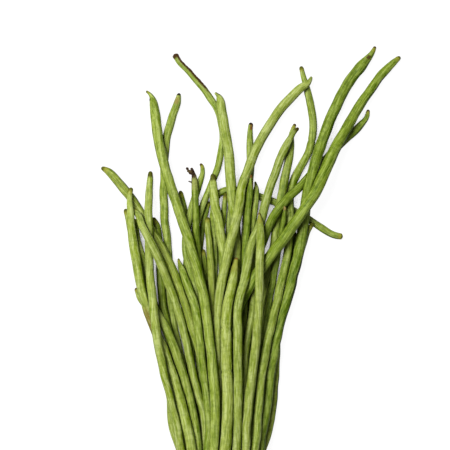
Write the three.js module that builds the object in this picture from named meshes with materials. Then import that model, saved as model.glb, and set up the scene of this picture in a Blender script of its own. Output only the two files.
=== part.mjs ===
// A bunch of yardlong beans lying on its side: long, slender, gently curved pods that fan out at
// their tips, are gathered by a plain rubber band at the waist, and end below it in short stalks.
// Millimetres, +Z up. The bunch lies along Y with the tips at +Y.
import * as THREE from "three";

// ---- Driving dimensions ---------------------------------------------------------------------

const SIDES = 8; // facets round a pod
const GOLDEN = 0.618034; // its multiples spread evenly without repeating
const LAYER = 7.2; // height of one layer of pods in the pile
const CLEARANCE = 0.3; // gap kept between neighbouring pieces
const FLOOR_GAP = 0.05; // the lowest pods stop this far above the surface

const WAIST_WIDTH = 62; // the oval that the band gathers the pods into
const WAIST_HEIGHT = 42;
const WAIST_SHARE = 0.74; // how far the lower pods close up between the fan and the waist
const STEM_Y = -104; // where the shortest stem end stops, below the waist
const STEM_STAGGER = 34; // the stem ends are this uneven
const STEM_SPREAD = 1.22; // the stem ends open out again by this much

// Below its own route each pod runs through the waist: how far from the middle of the band, at
// what share of its place across in the band, and at what share of its last layer.
const LOWER_ROUTE = [
  { y: 36, across: 1.05, layer: 1.2 },
  { y: 0, across: 1, layer: 1.3 },
  { y: -40, across: 1.05, layer: 1.1 },
];
const STEM_LAYER = 0.8; // the stem ends sink again to this share of the layer

const STALK_RADIUS = 1.7; // the short stalk left on each pod
const STALK_LENGTH = 9;
const NECK_LENGTH = 22; // over which a pod narrows into its stalk
const TIP_ROUNDING = 0.9; // the first ring is this far behind the very tip
const STALK_ROUNDING = 0.6; // and the last one this far before the stalk's end
const STALK_EASE = 3; // the neck ends this far before the stalk begins

const BAND_WIDTH = 7;
const BAND_THICKNESS = 1.6;
const BAND_SIDES = 96;

const LONGEST_STEP = 38; // between two rings of a straight pod
const SHORTEST_STEP = 7; // between two rings of a hooked pod
const STEP_SHRINK = 0.85; // a step that is too long is tried again at this share of it
const SAG = 0.55; // how far a straight facet may leave a curved pod
const CURVE_DIVISIONS = 400; // for measuring along a route

// How the pile settles: shares are of what is left to move in one pass.
const SETTLING_PASSES = 500;
const PARTING_PASSES = 900; // at the end, pods only part from each other
const SORTING_PASSES = 160; // at the start, pods find their order in the pile
const COOLING = 100; // passes that would still be needed for all movement to die away
const SEARCH_EVERY = 20; // passes between two searches for neighbours
const SETTLING_REACH = 5; // neighbours within this gap are watched while the pile settles
const PARTING_REACH = 3; // and within this gap at the end
const PARTED = CLEARANCE / 8; // pods that fall short of their clearance by less are left alone
const FIRM = 0.3; // how strongly a pod keeps to its route where it lies on top
const LOOSE = 0.02; // and where it runs beneath others
const SINK = 0.22; // how far a pod drops in a pass
const SINK_FADE = 90; // it drops less this near the waist
const STIFFNESS = 0.35;
const SIDEWAYS = 0.35; // a pod lying over another is lifted rather than pushed aside
const SAME_LAYER = 0.25; // mm of height: pods nearer in their layers lie side by side
const CROSSING = 0.75; // pods this near in plan, as a share of their clear distance, cross
const CROSSED = 0.5; // and one must be over the other by this share of it
const MOST_LIFT = 2; // how far one pass lifts a crossing pod
const TIE_BREAK = 0.01; // decides which goes up when two pods are exactly level
const SQUEEZE = 0.7; // how firmly the band's oval draws a pod back in
const WAIST_HOLD = 26; // the band holds the pods tight this far to either side
const WAIST_REACH = 80; // and guides them this far
const RAMP = 60; // the lowest pods climb over this length on to the band

// ---- The pods -------------------------------------------------------------------------------

// Numbered from left to right by their tips. width is a pod's full thickness, tip the share of it
// that it has just behind its end, and taper the length over which it fills out. Each route runs
// from the tip towards the waist as [x, y, layer], y measured from the waist and layer being the
// height in the pile, 0 on the surface. Above y = openTo a pod lies on top and keeps to its route;
// below it, it gives way to the pods over it.
const PODS = [
  {
    width: 8, tip: 0.7, taper: 30, openTo: 160,
    route: [[-102, 321, 0], [-92, 313.8, 0], [-73.9, 290.8, 0], [-60.5, 271, 0.5], [-46.5, 246.2, 1],
      [-36, 221, 1], [-26.5, 195, 1.2], [-17, 160, 1.3], [-12.5, 130, 1.5], [-9, 90, 1.6]],
  },
  {
    width: 6, tip: 0.45, taper: 40, openTo: 190,
    route: [[-81.7, 285.5, 0], [-79.3, 275, 0], [-72.5, 250, 0], [-65, 222, 0.2], [-58, 200, 0.2],
      [-50, 176, 0.2], [-42, 140, 0.6], [-33, 90, 1]],
  },
  {
    width: 8, tip: 0.4, taper: 60, openTo: 80,
    route: [[-77.3, 302.2, 1.4], [-77.6, 295, 1.7], [-76, 280, 1.9], [-73, 250, 1.2], [-65.8, 220, 1.2],
      [-57.5, 192, 1.5], [-48.7, 170, 1.6], [-39, 140, 2.2], [-30.5, 110, 2.6], [-24, 82, 2.8]],
  },
  {
    width: 7, tip: 0.6, taper: 20, openTo: 80,
    route: [[-75, 285.5, 1], [-71, 281.5, 1.2], [-62.5, 265, 2], [-52, 240, 1.6], [-40, 210, 1.3],
      [-31.3, 180, 1.5], [-25.5, 150, 1.7], [-17.8, 120, 2], [-13.5, 82, 2.1]],
  },
  {
    width: 7, tip: 0.6, taper: 20, openTo: 80,
    route: [[-73.7, 277, 0.2], [-73, 262, 0.2], [-66.4, 240, 0.2], [-64.1, 222, 0.3], [-59.5, 205, 0.6],
      [-51.5, 191.5, 0.9], [-43, 176, 1], [-34.5, 151, 1.4], [-22.2, 110, 2], [-18.5, 82, 2.2]],
  },
  {
    width: 6.5, tip: 0.5, taper: 24, openTo: 80,
    route: [[-72, 218.3, 0], [-70.6, 212, 0], [-63.8, 203, 0.4], [-58, 193, 0.7], [-53.5, 178, 1],
      [-48.8, 155, 1.2], [-45.3, 138, 1.5], [-44.6, 115, 1.7], [-41.8, 82, 2]],
  },
  {
    width: 8.6, tip: 0.3, taper: 22, openTo: 80,
    route: [[-63, 386.5, 0], [-60.5, 383.5, 0], [-58.5, 378, 0], [-55.5, 360, 0.2], [-50.2, 330, 0.9],
      [-41.1, 300, 1], [-31.2, 270, 1.5], [-21.8, 240, 2.5], [-14.9, 210, 3], [-10.9, 180, 3],
      [-7.4, 150, 3], [-4.4, 120, 3.3], [-2.2, 82, 3.4]],
  },
  {
    width: 7, tip: 0.6, taper: 30, openTo: 80,
    route: [[-60.3, 317.5, 0.2], [-61.6, 295, 0.5], [-61.8, 270, 1.3], [-60.5, 240, 1.3], [-57, 200, 2.2],
      [-50.8, 160, 2.3], [-45.6, 140, 2.6], [-38.3, 110, 3], [-32.6, 82, 3]],
  },
  {
    width: 7, tip: 0.7, taper: 24, openTo: 185,
    route: [[-57.8, 278.3, 0], [-54.3, 266, 0], [-51.8, 238, 0], [-51, 208, 0], [-46.5, 185, 0.1],
      [-40, 150, 0.1], [-34, 90, 0]],
  },
  {
    width: 5.8, tip: 0.62, taper: 34, openTo: 252,
    route: [[-40, 417.5, 0], [-36.5, 411.5, 0], [-25.5, 399.7, 0], [-10, 380.8, 0], [-4.5, 373.5, 0],
      [-0.5, 360, 0], [1, 347, 0], [-1.7, 325, 0], [-8.3, 304, 0], [-18, 280, 0], [-24, 257, 0],
      [-26, 230, 0], [-25, 180, 0.3], [-20, 90, 1]],
  },
  {
    width: 6.8, tip: 0.75, taper: 20, openTo: 80,
    route: [[-36.5, 243, 1.4], [-31, 230, 1.6], [-24, 210, 1.5], [-20.3, 190, 1.6], [-16.2, 160, 2],
      [-12, 130, 2.3], [-9.6, 100, 2.5], [-11.5, 82, 2.5]],
  },
  {
    width: 7, tip: 0.6, taper: 20, openTo: 180,
    route: [[-35.9, 384, 0], [-37.7, 375, 0], [-46.1, 350, 0], [-49.2, 310, 0], [-50.4, 295, 0],
      [-49.4, 270, 0], [-47, 240, 0], [-44, 200, 0.1], [-41.3, 182, 0.3], [-35, 150, 0.8], [-27, 90, 1]],
  },
  {
    width: 4.8, tip: 0.6, taper: 20, openTo: 272,
    route: [[-35.3, 300.8, 0], [-31.8, 290, 0], [-28.3, 277, 0], [-26.5, 262, 0], [-31, 230, 0],
      [-33, 180, 0], [-27, 90, 0]],
  },
  {
    width: 5.8, tip: 0.45, taper: 16, openTo: 236,
    route: [[-25.4, 320.5, 0.6], [-23, 312, 0.8], [-22.6, 300, 1], [-21.5, 270, 1], [-20.5, 245, 1],
      [-17.5, 225, 1], [-15, 180, 0.9], [-12, 90, 1]],
  },
  {
    width: 6.3, tip: 0.5, taper: 26, openTo: 222,
    route: [[-17.2, 323.9, 0], [-15.4, 321.4, 0], [-16.4, 316, 0], [-24.5, 290, 0.3], [-29.6, 270, 0.9],
      [-31.8, 250, 0.8], [-25.5, 220, 0.5], [-23, 180, 0.1], [-20, 90, 0]],
  },
  {
    width: 5.4, tip: 0.7, taper: 20, openTo: 224,
    route: [[-15.7, 251, 0.1], [-13.7, 233, 0.4], [-12.5, 220, 0.4], [-13, 180, 0], [-5, 90, 0]],
  },
  {
    width: 6.2, tip: 0.7, taper: 24, openTo: 206,
    route: [[-12, 278.5, 0.2], [-11.5, 260, 0.4], [-10, 240, 0.9], [-9.5, 220, 1.2], [-7.8, 205, 1.2],
      [-7, 150, 1], [-4, 90, 1]],
  },
  {
    width: 5, tip: 0.7, taper: 20, openTo: 258,
    route: [[-11, 292, 0], [-14.4, 278, 0], [-16.2, 262, 0], [-15.7, 245, 0], [-16, 220, 0],
      [-16, 180, 0], [-12, 90, 0]],
  },
  {
    width: 7.8, tip: 0.5, taper: 20, openTo: 222,
    route: [[-7, 315, 0.7], [-6.8, 300, 1], [-3.5, 280, 1], [1.3, 250, 1], [2.3, 230, 1.1], [1, 190, 1],
      [2, 150, 1], [4, 90, 1]],
  },
  {
    width: 8.4, tip: 0.35, taper: 12, openTo: 245,
    route: [[-4.6, 385, 1], [-2.6, 381, 1], [-0.9, 370, 1], [3.1, 350, 1], [6.6, 330, 1], [9.3, 300, 1],
      [13, 270, 1], [15.5, 243, 1], [17, 210, 0.9], [17, 170, 0.9], [20, 90, 1]],
  },
  {
    width: 5, tip: 0.7, taper: 20, openTo: 272,
    route: [[3.6, 299, 0.7], [2.8, 282, 0.3], [2.5, 270, 0], [1, 240, 0], [-1, 200, 0], [4, 90, 0]],
  },
  {
    width: 5.2, tip: 0.7, taper: 20, openTo: 264,
    route: [[7.7, 292, 0.4], [6.3, 274, 0.1], [4.6, 262, 0], [6.5, 235, 0], [6, 200, 0], [12, 90, 0]],
  },
  {
    width: 9, tip: 0.4, taper: 28, openTo: 80,
    route: [[13, 244, 2.6], [9.8, 230, 2.8], [4.4, 205, 3], [4.1, 190, 3], [4, 170, 3], [5.7, 140, 3.2],
      [6.5, 110, 3.4], [6.1, 82, 3.5]],
  },
  {
    width: 5.6, tip: 0.7, taper: 20, openTo: 182,
    route: [[25, 314, 1.5], [23.6, 300, 1.7], [22.5, 280, 1.3], [20.8, 250, 1.1], [21, 205, 1.1],
      [18.8, 180, 1.1], [19, 150, 1], [27, 90, 1]],
  },
  {
    width: 6, tip: 0.55, taper: 26, openTo: 292,
    route: [[25, 359, 0], [24.3, 345, 0], [26, 320, 0.3], [25.9, 299, 0.9], [24.5, 265, 0.2],
      [24, 230, 0], [23, 190, 0], [28, 90, 0]],
  },
  {
    width: 6.2, tip: 0.75, taper: 24, openTo: 162,
    route: [[29, 308.7, 1.5], [28.3, 296, 1.7], [27.6, 272, 1.3], [27.3, 240, 1.3], [26.8, 210, 1.3],
      [22.5, 180, 1.6], [19, 160, 1.8], [15.5, 90, 2]],
  },
  {
    width: 7.6, tip: 0.5, taper: 26, openTo: 80,
    route: [[32, 282, 2.3], [33, 270, 2.5], [32.7, 240, 2.9], [31.3, 200, 2.8], [27.5, 160, 2.7],
      [22.8, 130, 2.7], [20.2, 100, 2.8], [18.3, 82, 2.8]],
  },
  {
    width: 5.6, tip: 0.45, taper: 26, openTo: 80,
    route: [[52.6, 287.5, 2.4], [52.3, 272, 1.8], [47, 243, 1.2], [41.3, 210, 1.3], [34.5, 170, 1.8],
      [29, 140, 2], [26.5, 110, 2.2], [23.7, 82, 2.2]],
  },
  {
    width: 5.4, tip: 0.7, taper: 20, openTo: 230,
    route: [[62.5, 266, 0.1], [60.2, 248, 0.1], [55.8, 228, 0.1], [50, 200, 0.2], [43, 150, 0.2],
      [36, 90, 0]],
  },
  {
    width: 7.5, tip: 0.5, taper: 30, openTo: 202,
    route: [[63.7, 357.5, 0.1], [61, 352.5, 0], [57.5, 330, 0], [52.2, 300, 0.6], [48.5, 280, 0.9],
      [46, 258, 0.6], [40.5, 232, 0.6], [33.5, 200, 0.6], [31, 150, 0.6], [34, 90, 1]],
  },
  {
    width: 7.4, tip: 0.5, taper: 24, openTo: 80,
    route: [[64.6, 354.5, 1], [61.4, 350, 1], [50.5, 328, 0.8], [43.5, 310, 0.6], [38.2, 295, 1.1],
      [33, 276, 1.5], [27, 260, 2.2], [20.8, 230, 2.7], [15.3, 205, 2.8], [14.2, 180, 2.8],
      [14, 140, 2.8], [13.6, 110, 3], [12.5, 82, 3]],
  },
  {
    width: 6.8, tip: 0.5, taper: 40, openTo: 80,
    route: [[67.8, 407, 0], [72, 393, 0], [76.3, 375, 0], [77.9, 355, 0], [77.6, 345, 0],
      [76, 338.6, 0], [63.8, 313.1, 0.1], [58.8, 298, 0.4], [57.5, 280, 0.9], [56, 252, 0.6],
      [47.7, 210, 1], [40.5, 180, 1.4], [34.5, 150, 1.9], [31.7, 120, 2.4], [28, 82, 2.6]],
  },
  {
    width: 8, tip: 0.4, taper: 24, openTo: 162,
    route: [[75.8, 397.6, 0.6], [73.9, 392.5, 0.9], [70, 389.8, 1], [58.5, 379.5, 0.5], [43, 359.6, 0],
      [33.6, 343.4, 0.3], [25.7, 325, 1], [20.2, 310, 1.3], [15.8, 290, 1.8], [9, 260, 2], [4.3, 230, 2],
      [0, 200, 2], [-2.6, 170, 2.1], [-3, 120, 2.2], [-1, 90, 2.3]],
  },
  {
    width: 6.4, tip: 0.5, taper: 60, openTo: 80,
    route: [[78.6, 273, 1], [76.6, 271.8, 1], [74.3, 267, 0.7], [70, 255.5, 0.2], [64.9, 240, 0.2],
      [58.4, 220, 0.3], [52.6, 200, 0.5], [48.4, 180, 0.9], [46.8, 150, 1.2], [45.4, 125, 1.5],
      [43, 98, 1.7], [40.3, 82, 1.8]],
  },
  {
    width: 6.3, tip: 0.8, taper: 16, openTo: 208,
    route: [[103.5, 261.7, 0], [98, 262.4, 0], [88, 267.2, 0], [70, 280, 0], [54, 287, 0], [33, 296, 0],
      [14, 300.8, 0], [2.3, 300.3, 0], [-2.8, 297.3, 0], [-5.2, 290, 0], [-6, 265, 0], [-5.1, 225, 0],
      [-7, 190, 0], [-4, 90, 0]],
  },
  {
    width: 7.4, tip: 0.5, taper: 24, openTo: 232,
    route: [[126.4, 369.5, 0], [122, 360.2, 0], [107.8, 347, 0], [84.3, 321.8, 0.3], [67.4, 304.1, 0.9],
      [57, 294, 1.5], [43, 277, 1.7], [35, 262, 1.3], [28, 241, 0.6], [24, 215, 0.3], [20, 150, 0.2],
      [20, 90, 0]],
  },
  {
    width: 8.9, tip: 0.4, taper: 20, openTo: 80,
    route: [[131.8, 423.5, 0], [126, 414.7, 0], [110.9, 396.8, 0], [97.3, 371.6, 0], [86.6, 346.5, 0.3],
      [78.2, 320, 1.2], [72.2, 300, 1.6], [70.5, 280, 1.5], [67.7, 260, 1], [61.2, 230, 1],
      [52.2, 200, 1.3], [45, 170, 1.5], [40.2, 140, 1.6], [36, 110, 1.7], [30, 82, 1.7]],
  },
  {
    width: 9.4, tip: 0.6, taper: 30, openTo: 178,
    route: [[152.4, 415, 0], [141.5, 405, 0], [129.3, 390.4, 0], [103.6, 350, 1], [93.5, 332.4, 1.3],
      [85.3, 314.5, 2], [75.6, 294.8, 2.6], [64.5, 278, 2.6], [45.6, 252, 2.2], [29.5, 231, 1.9],
      [18, 211, 1.9], [12.5, 196, 1.9], [11.5, 150, 1.9], [8, 90, 2.1]],
  },
];

// A pod's radius at arc length s from its tip, on a pod of the given length.
function radiusAt(pod, s, length) {
  const full = pod.width / 2;
  const unfilled = 1 - Math.min(1, s / pod.taper);
  const filled = 1 - (1 - pod.tip) * unfilled * unfilled;
  const neck = THREE.MathUtils.smoothstep(length - s, STALK_LENGTH, STALK_LENGTH + NECK_LENGTH);
  return Math.min(full * filled, THREE.MathUtils.lerp(STALK_RADIUS, full, neck));
}

// ---- Laying the pods out --------------------------------------------------------------------

// The route of a pod all the way to its stem end: the lower part closes up towards the waist and
// opens a little again below it.
function wholeRoute(pod, index) {
  const [lastX, , lastLayer] = pod.route.at(-1);
  const waistX = lastX * WAIST_SHARE;
  const stagger = ((index * GOLDEN) % 1) * STEM_STAGGER;
  const lower = LOWER_ROUTE.map(({ y, across, layer }) => [waistX * across, y, lastLayer * layer]);
  const end = [waistX * STEM_SPREAD, STEM_Y - stagger, lastLayer * STEM_LAYER];
  return [...pod.route, ...lower, end];
}

// How far a curve bows away from the straight line between two of its points.
function sagOver(curve, from, to) {
  const end = Math.min(1, to);
  const chord = new THREE.Line3(curve.getPointAt(from), curve.getPointAt(end));
  const bow = curve.getPointAt((from + end) / 2);
  return chord.closestPointToPoint(bow, true, new THREE.Vector3()).distanceTo(bow);
}

// Stations along a pod, closer together where it bends: each is a ring of the finished pod and a
// joint of the chain that settles into the pile.
function stationsOf(pod, index) {
  const points = wholeRoute(pod, index).map(
    ([x, y, layer]) => new THREE.Vector3(x, y, pod.width / 2 + layer * LAYER),
  );
  const curve = new THREE.CatmullRomCurve3(points, false, "centripetal");
  curve.arcLengthDivisions = CURVE_DIVISIONS;
  const length = curve.getLength();
  const neckStart = length - STALK_LENGTH - NECK_LENGTH;
  const rings = [0, TIP_ROUNDING];
  let s = SHORTEST_STEP;
  while (s < neckStart - SHORTEST_STEP) {
    rings.push(s);
    let step = Math.min(LONGEST_STEP, SHORTEST_STEP + s);
    while (step > SHORTEST_STEP && sagOver(curve, s / length, (s + step) / length) > SAG) {
      step = Math.max(SHORTEST_STEP, step * STEP_SHRINK);
    }
    s += step;
  }
  rings.push(neckStart, length - STALK_LENGTH - STALK_EASE, length - STALK_ROUNDING, length);
  return rings.map((along) => {
    const place = curve.getPointAt(along / length);
    return {
      along,
      place,
      wanted: place.clone(),
      radius: radiusAt(pod, along, length),
      hold: place.y > pod.openTo ? FIRM : LOOSE,
    };
  });
}

// Where two straight stretches of pod come closest: the share along each, and the gap vector.
function closestApproach(a0, a1, b0, b1) {
  const u = new THREE.Vector3().subVectors(a1, a0);
  const v = new THREE.Vector3().subVectors(b1, b0);
  const w = new THREE.Vector3().subVectors(a0, b0);
  const uu = u.dot(u);
  const uv = u.dot(v);
  const vv = v.dot(v);
  const uw = u.dot(w);
  const vw = v.dot(w);
  const clamp = (n) => THREE.MathUtils.clamp(n, 0, 1);
  const spread = uu * vv - uv * uv;
  let s = spread > Number.EPSILON ? clamp((uv * vw - vv * uw) / spread) : 0.5;
  const t = clamp((uv * s + vw) / vv);
  s = clamp((uv * t - uw) / uu);
  const apart = w.addScaledVector(u, s).addScaledVector(v, -t);
  return { s, t, apart };
}

// The stretches of different pods that can come within reach of each other, with the order in
// which they lie: +1 where the first is the upper one, 0 where they lie side by side.
function neighbours(chains, reach) {
  const pairs = [];
  chains.forEach((first, i) => {
    chains.slice(i + 1).forEach((second) => {
      for (let m = 1; m < first.length; m += 1) {
        for (let n = 1; n < second.length; n += 1) {
          const [a0, a1, b0, b1] = [first[m - 1], first[m], second[n - 1], second[n]];
          const near = Math.max(a0.radius, a1.radius) + Math.max(b0.radius, b1.radius) + reach;
          const lowA = Math.min(a0.place.y, a1.place.y);
          const highA = Math.max(a0.place.y, a1.place.y);
          const lowB = Math.min(b0.place.y, b1.place.y);
          const highB = Math.max(b0.place.y, b1.place.y);
          if (lowA > highB + near || lowB > highA + near) continue;
          const now = closestApproach(a0.place, a1.place, b0.place, b1.place);
          if (now.apart.length() > near) continue;
          const plan = closestApproach(...[a0, a1, b0, b1].map((p) => p.wanted.clone().setZ(0)));
          const heightA = THREE.MathUtils.lerp(a0.wanted.z, a1.wanted.z, plan.s);
          const heightB = THREE.MathUtils.lerp(b0.wanted.z, b1.wanted.z, plan.t);
          const over = heightA - heightB;
          pairs.push({ a0, a1, b0, b1, order: Math.abs(over) < SAME_LAYER ? 0 : Math.sign(over) });
        }
      }
    });
  });
  return pairs;
}

// Where two stretches of pod press on each other hardest: where their middles come closest or,
// as pods taper, beside one of the four ends.
function tightest({ a0, a1, b0, b1 }) {
  const judge = (s, t, apart) => {
    const radiusA = THREE.MathUtils.lerp(a0.radius, a1.radius, s);
    const radiusB = THREE.MathUtils.lerp(b0.radius, b1.radius, t);
    return { s, t, apart, needed: radiusA + radiusB + CLEARANCE };
  };
  const beside = (point, start, end) =>
    new THREE.Line3(start, end).closestPointToPointParameter(point, true);
  const gap = (s, t) =>
    new THREE.Vector3()
      .lerpVectors(a0.place, a1.place, s)
      .sub(new THREE.Vector3().lerpVectors(b0.place, b1.place, t));
  const { s, t, apart } = closestApproach(a0.place, a1.place, b0.place, b1.place);
  const places = [judge(s, t, apart)];
  for (const end of [0, 1]) {
    const share = beside((end ? a1 : a0).place, b0.place, b1.place);
    places.push(judge(end, share, gap(end, share)));
    const other = beside((end ? b1 : b0).place, a0.place, a1.place);
    places.push(judge(other, end, gap(other, end)));
  }
  const shortfall = ({ needed, apart: between }) => needed - between.length();
  return places.reduce((worst, one) => (shortfall(one) > shortfall(worst) ? one : worst));
}

// Pushes one pair of stretches apart until the pods clear each other, and says by how much they
// fell short of it.
function separate(pair, sorting) {
  const { a0, a1, b0, b1, order } = pair;
  const { s, t, apart, needed } = tightest(pair);
  const inPlan = Math.hypot(apart.x, apart.y);
  const height = apart.z * order;
  const crossing = order !== 0 && inPlan < CROSSING * needed;
  if (sorting && crossing && height < CROSSED * needed) {
    const lift = order * Math.min(needed - height, MOST_LIFT);
    spreadPush(a0, a1, s, new THREE.Vector3(0, 0, lift / 2));
    spreadPush(b0, b1, t, new THREE.Vector3(0, 0, -lift / 2));
    return lift;
  }
  const shortfall = needed - apart.length();
  if (shortfall <= 0) return 0;
  const sideways = order === 0 ? 1 : SIDEWAYS;
  const way = new THREE.Vector3(apart.x * sideways, apart.y * sideways, apart.z);
  way.z += TIE_BREAK * order;
  way.normalize();
  const along = apart.dot(way);
  const push = Math.sqrt(along * along + needed * needed - apart.lengthSq()) - along;
  spreadPush(a0, a1, s, way.clone().multiplyScalar(push / 2));
  spreadPush(b0, b1, t, way.clone().multiplyScalar(-push / 2));
  return shortfall;
}

// Moves a point at a share along a stretch, by moving the two stations at its ends.
function spreadPush(start, end, share, push) {
  const total = share * share + (1 - share) * (1 - share);
  start.place.addScaledVector(push, (1 - share) / total);
  end.place.addScaledVector(push, share / total);
}

// A pod is stiff: its departure from its route changes smoothly along it.
function stiffen(chain, stiffness) {
  for (let i = 1; i < chain.length - 1; i += 1) {
    const [before, here, after] = [chain[i - 1], chain[i], chain[i + 1]];
    const share = (here.along - before.along) / (after.along - before.along);
    for (const axis of ["x", "y"]) {
      const from = before.place[axis] - before.wanted[axis];
      const to = after.place[axis] - after.wanted[axis];
      const here0 = here.place[axis] - here.wanted[axis];
      here.place[axis] += stiffness * (THREE.MathUtils.lerp(from, to, share) - here0);
    }
    const level = THREE.MathUtils.lerp(before.place.z, after.place.z, share);
    here.place.z += stiffness * (level - here.place.z);
  }
}

// How high the lowest pods lie: the band passes under them at the waist.
function floorAt(y) {
  const under = CLEARANCE + BAND_THICKNESS + FLOOR_GAP;
  const past = THREE.MathUtils.smoothstep(Math.abs(y), BAND_WIDTH, RAMP);
  return THREE.MathUtils.lerp(under, FLOOR_GAP, past);
}

// Keeps a station above the surface and, near the waist, inside the oval of the band, which opens
// out away from it.
function contain(station) {
  const { place, radius } = station;
  place.z = Math.max(place.z, radius + floorAt(place.y));
  const away = Math.abs(place.y);
  if (away > WAIST_REACH) return;
  const opening = 1 + Math.max(0, away - WAIST_HOLD) / WAIST_REACH;
  const across = (WAIST_WIDTH / 2) * opening - radius;
  const up = (WAIST_HEIGHT / 2) * opening - radius;
  const middle = (WAIST_HEIGHT / 2) * opening + floorAt(away);
  const out = Math.hypot(place.x / across, (place.z - middle) / up);
  if (out <= 1) return;
  place.x -= place.x * (1 - 1 / out) * SQUEEZE;
  place.z -= (place.z - middle) * (1 - 1 / out) * SQUEEZE;
}

// Lets the pods settle: each is drawn to its route and down towards the surface, stays stiff, and
// gives way to its neighbours. After that they only part, until none touches another.
function settle(chains) {
  const stations = chains.flat();
  let pairs = [];
  for (let pass = 0; pass < SETTLING_PASSES; pass += 1) {
    const left = 1 - pass / (SETTLING_PASSES + COOLING);
    if (pass % SEARCH_EVERY === 0) pairs = neighbours(chains, SETTLING_REACH);
    for (const { place, wanted, hold } of stations) {
      place.x += (wanted.x - place.x) * hold * left;
      place.y += (wanted.y - place.y) * hold * left;
      place.z -= SINK * left * THREE.MathUtils.smoothstep(Math.abs(place.y), 0, SINK_FADE);
    }
    for (const chain of chains) stiffen(chain, STIFFNESS * left);
    for (const pair of pairs) separate(pair, pass < SORTING_PASSES);
    for (const station of stations) contain(station);
  }
  let worst = CLEARANCE;
  for (let pass = 0; pass < PARTING_PASSES && worst > PARTED; pass += 1) {
    if (pass % SEARCH_EVERY === 0) pairs = neighbours(chains, PARTING_REACH);
    worst = Math.max(...pairs.map((pair) => separate(pair, false)));
    for (const station of stations) contain(station);
  }
}

// ---- Making the solids ----------------------------------------------------------------------

const rubber = new THREE.MeshStandardMaterial({ color: 0xb98a4e, roughness: 0.75, metalness: 0 });

// Pods run from a yellowish to a bluish green, the bluer ones a little lighter.
const POD_SKIN = { hue: 0.185, hueSwing: 0.02, saturation: 0.42, lightness: 0.36, lightSwing: 0.07 };

function podMaterial(index) {
  const swing = (index * GOLDEN) % 1;
  const hue = POD_SKIN.hue + POD_SKIN.hueSwing * swing;
  const lightness = POD_SKIN.lightness + POD_SKIN.lightSwing * swing;
  const color = new THREE.Color().setHSL(hue, POD_SKIN.saturation, lightness);
  return new THREE.MeshStandardMaterial({ color, roughness: 0.55, metalness: 0 });
}

// A pod: its tapered outline turned into a closed body of revolution, then bent along its chain
// of stations. Every ring stands upright across its pod.
function podGeometry(chain) {
  const outline = chain.map(({ radius, along }, i) => {
    const onAxis = i === 0 || i === chain.length - 1;
    return new THREE.Vector2(onAxis ? 0 : radius, along);
  });
  const geometry = new THREE.LatheGeometry(outline, SIDES);
  const position = geometry.getAttribute("position");
  const spot = new THREE.Vector3();
  for (let v = 0; v < position.count; v += 1) {
    const ring = v % chain.length;
    const { place, tangent } = chain[ring];
    const side = new THREE.Vector3(0, 0, 1).cross(tangent).normalize();
    const down = side.clone().cross(tangent);
    spot.copy(place);
    spot.addScaledVector(side, position.getX(v));
    spot.addScaledVector(down, position.getZ(v));
    position.setXYZ(v, spot.x, spot.y, spot.z);
  }
  geometry.computeVertexNormals();
  return geometry;
}

// The direction of a chain at each station.
function addTangents(chain) {
  chain.forEach((station, i) => {
    const before = chain[Math.max(0, i - 1)].place;
    const after = chain[Math.min(chain.length - 1, i + 1)].place;
    const back = new THREE.Vector3().subVectors(station.place, before).normalize();
    const on = new THREE.Vector3().subVectors(after, station.place).normalize();
    station.tangent = back.add(on).normalize();
  });
}

// The band: the tightest ring round the pods it gathers, given its thickness and width.
function bandGeometry(chains) {
  const sections = chains.flatMap((chain) => crossings(chain));
  const ringAt = (offset) =>
    Array.from({ length: BAND_SIDES }, (_, i) => {
      const angle = (2 * Math.PI * i) / BAND_SIDES;
      const out = new THREE.Vector2(Math.cos(angle), Math.sin(angle));
      const reach = ({ centre, radius }) => centre.dot(out) + radius;
      const outermost = sections.reduce((best, one) => (reach(one) > reach(best) ? one : best));
      return outermost.centre.clone().addScaledVector(out, outermost.radius + offset);
    });
  const shape = new THREE.Shape(ringAt(CLEARANCE + BAND_THICKNESS));
  shape.holes.push(new THREE.Path(ringAt(CLEARANCE)));
  const geometry = new THREE.ExtrudeGeometry(shape, { depth: BAND_WIDTH, bevelEnabled: false });
  geometry.rotateX(Math.PI / 2);
  geometry.translate(0, BAND_WIDTH / 2, 0);
  return geometry;
}

// Where a pod passes the two edges and the middle of the band, in the band's plane.
function crossings(chain) {
  return [-BAND_WIDTH / 2, 0, BAND_WIDTH / 2].map((y) => {
    const after = chain.findIndex((station, i) => i > 0 && station.place.y <= y);
    const [above, below] = [chain[after - 1], chain[after]];
    const share = (above.place.y - y) / (above.place.y - below.place.y);
    const at = new THREE.Vector3().lerpVectors(above.place, below.place, share);
    const radius = THREE.MathUtils.lerp(above.radius, below.radius, share);
    return { centre: new THREE.Vector2(at.x, at.z), radius };
  });
}

// ---- The bunch ------------------------------------------------------------------------------

const chains = PODS.map(stationsOf);
settle(chains);
chains.forEach(addTangents);

const bunch = new THREE.Group();
chains.forEach((chain, i) => {
  const pod = new THREE.Mesh(podGeometry(chain), podMaterial(i));
  pod.name = `pod_${String(i + 1).padStart(2, "0")}`;
  bunch.add(pod);
});
const band = new THREE.Mesh(bandGeometry(chains), rubber);
band.name = "rubber_band";
bunch.add(band);

// The origin is under the middle of the bunch's box.
const box = new THREE.Box3().setFromObject(bunch);
const middle = box.getCenter(new THREE.Vector3());
bunch.children.forEach((mesh) => mesh.position.set(-middle.x, -middle.y, -box.min.z));

export default bunch;
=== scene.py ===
"""A bunch of yardlong beans lying on a pale table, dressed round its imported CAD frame.

Every CAD pod is a plain eight-sided tube. Its rings give the line and the thickness that the pod
has in the bunch, and the finished pod is a fine surface carried along the same line: swellings
over the seeds, two seams, creases, a beak or a withered end at the tip, and a fluted stalk.
"""

import logging
import math
from dataclasses import dataclass, field
from enum import Enum

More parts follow.
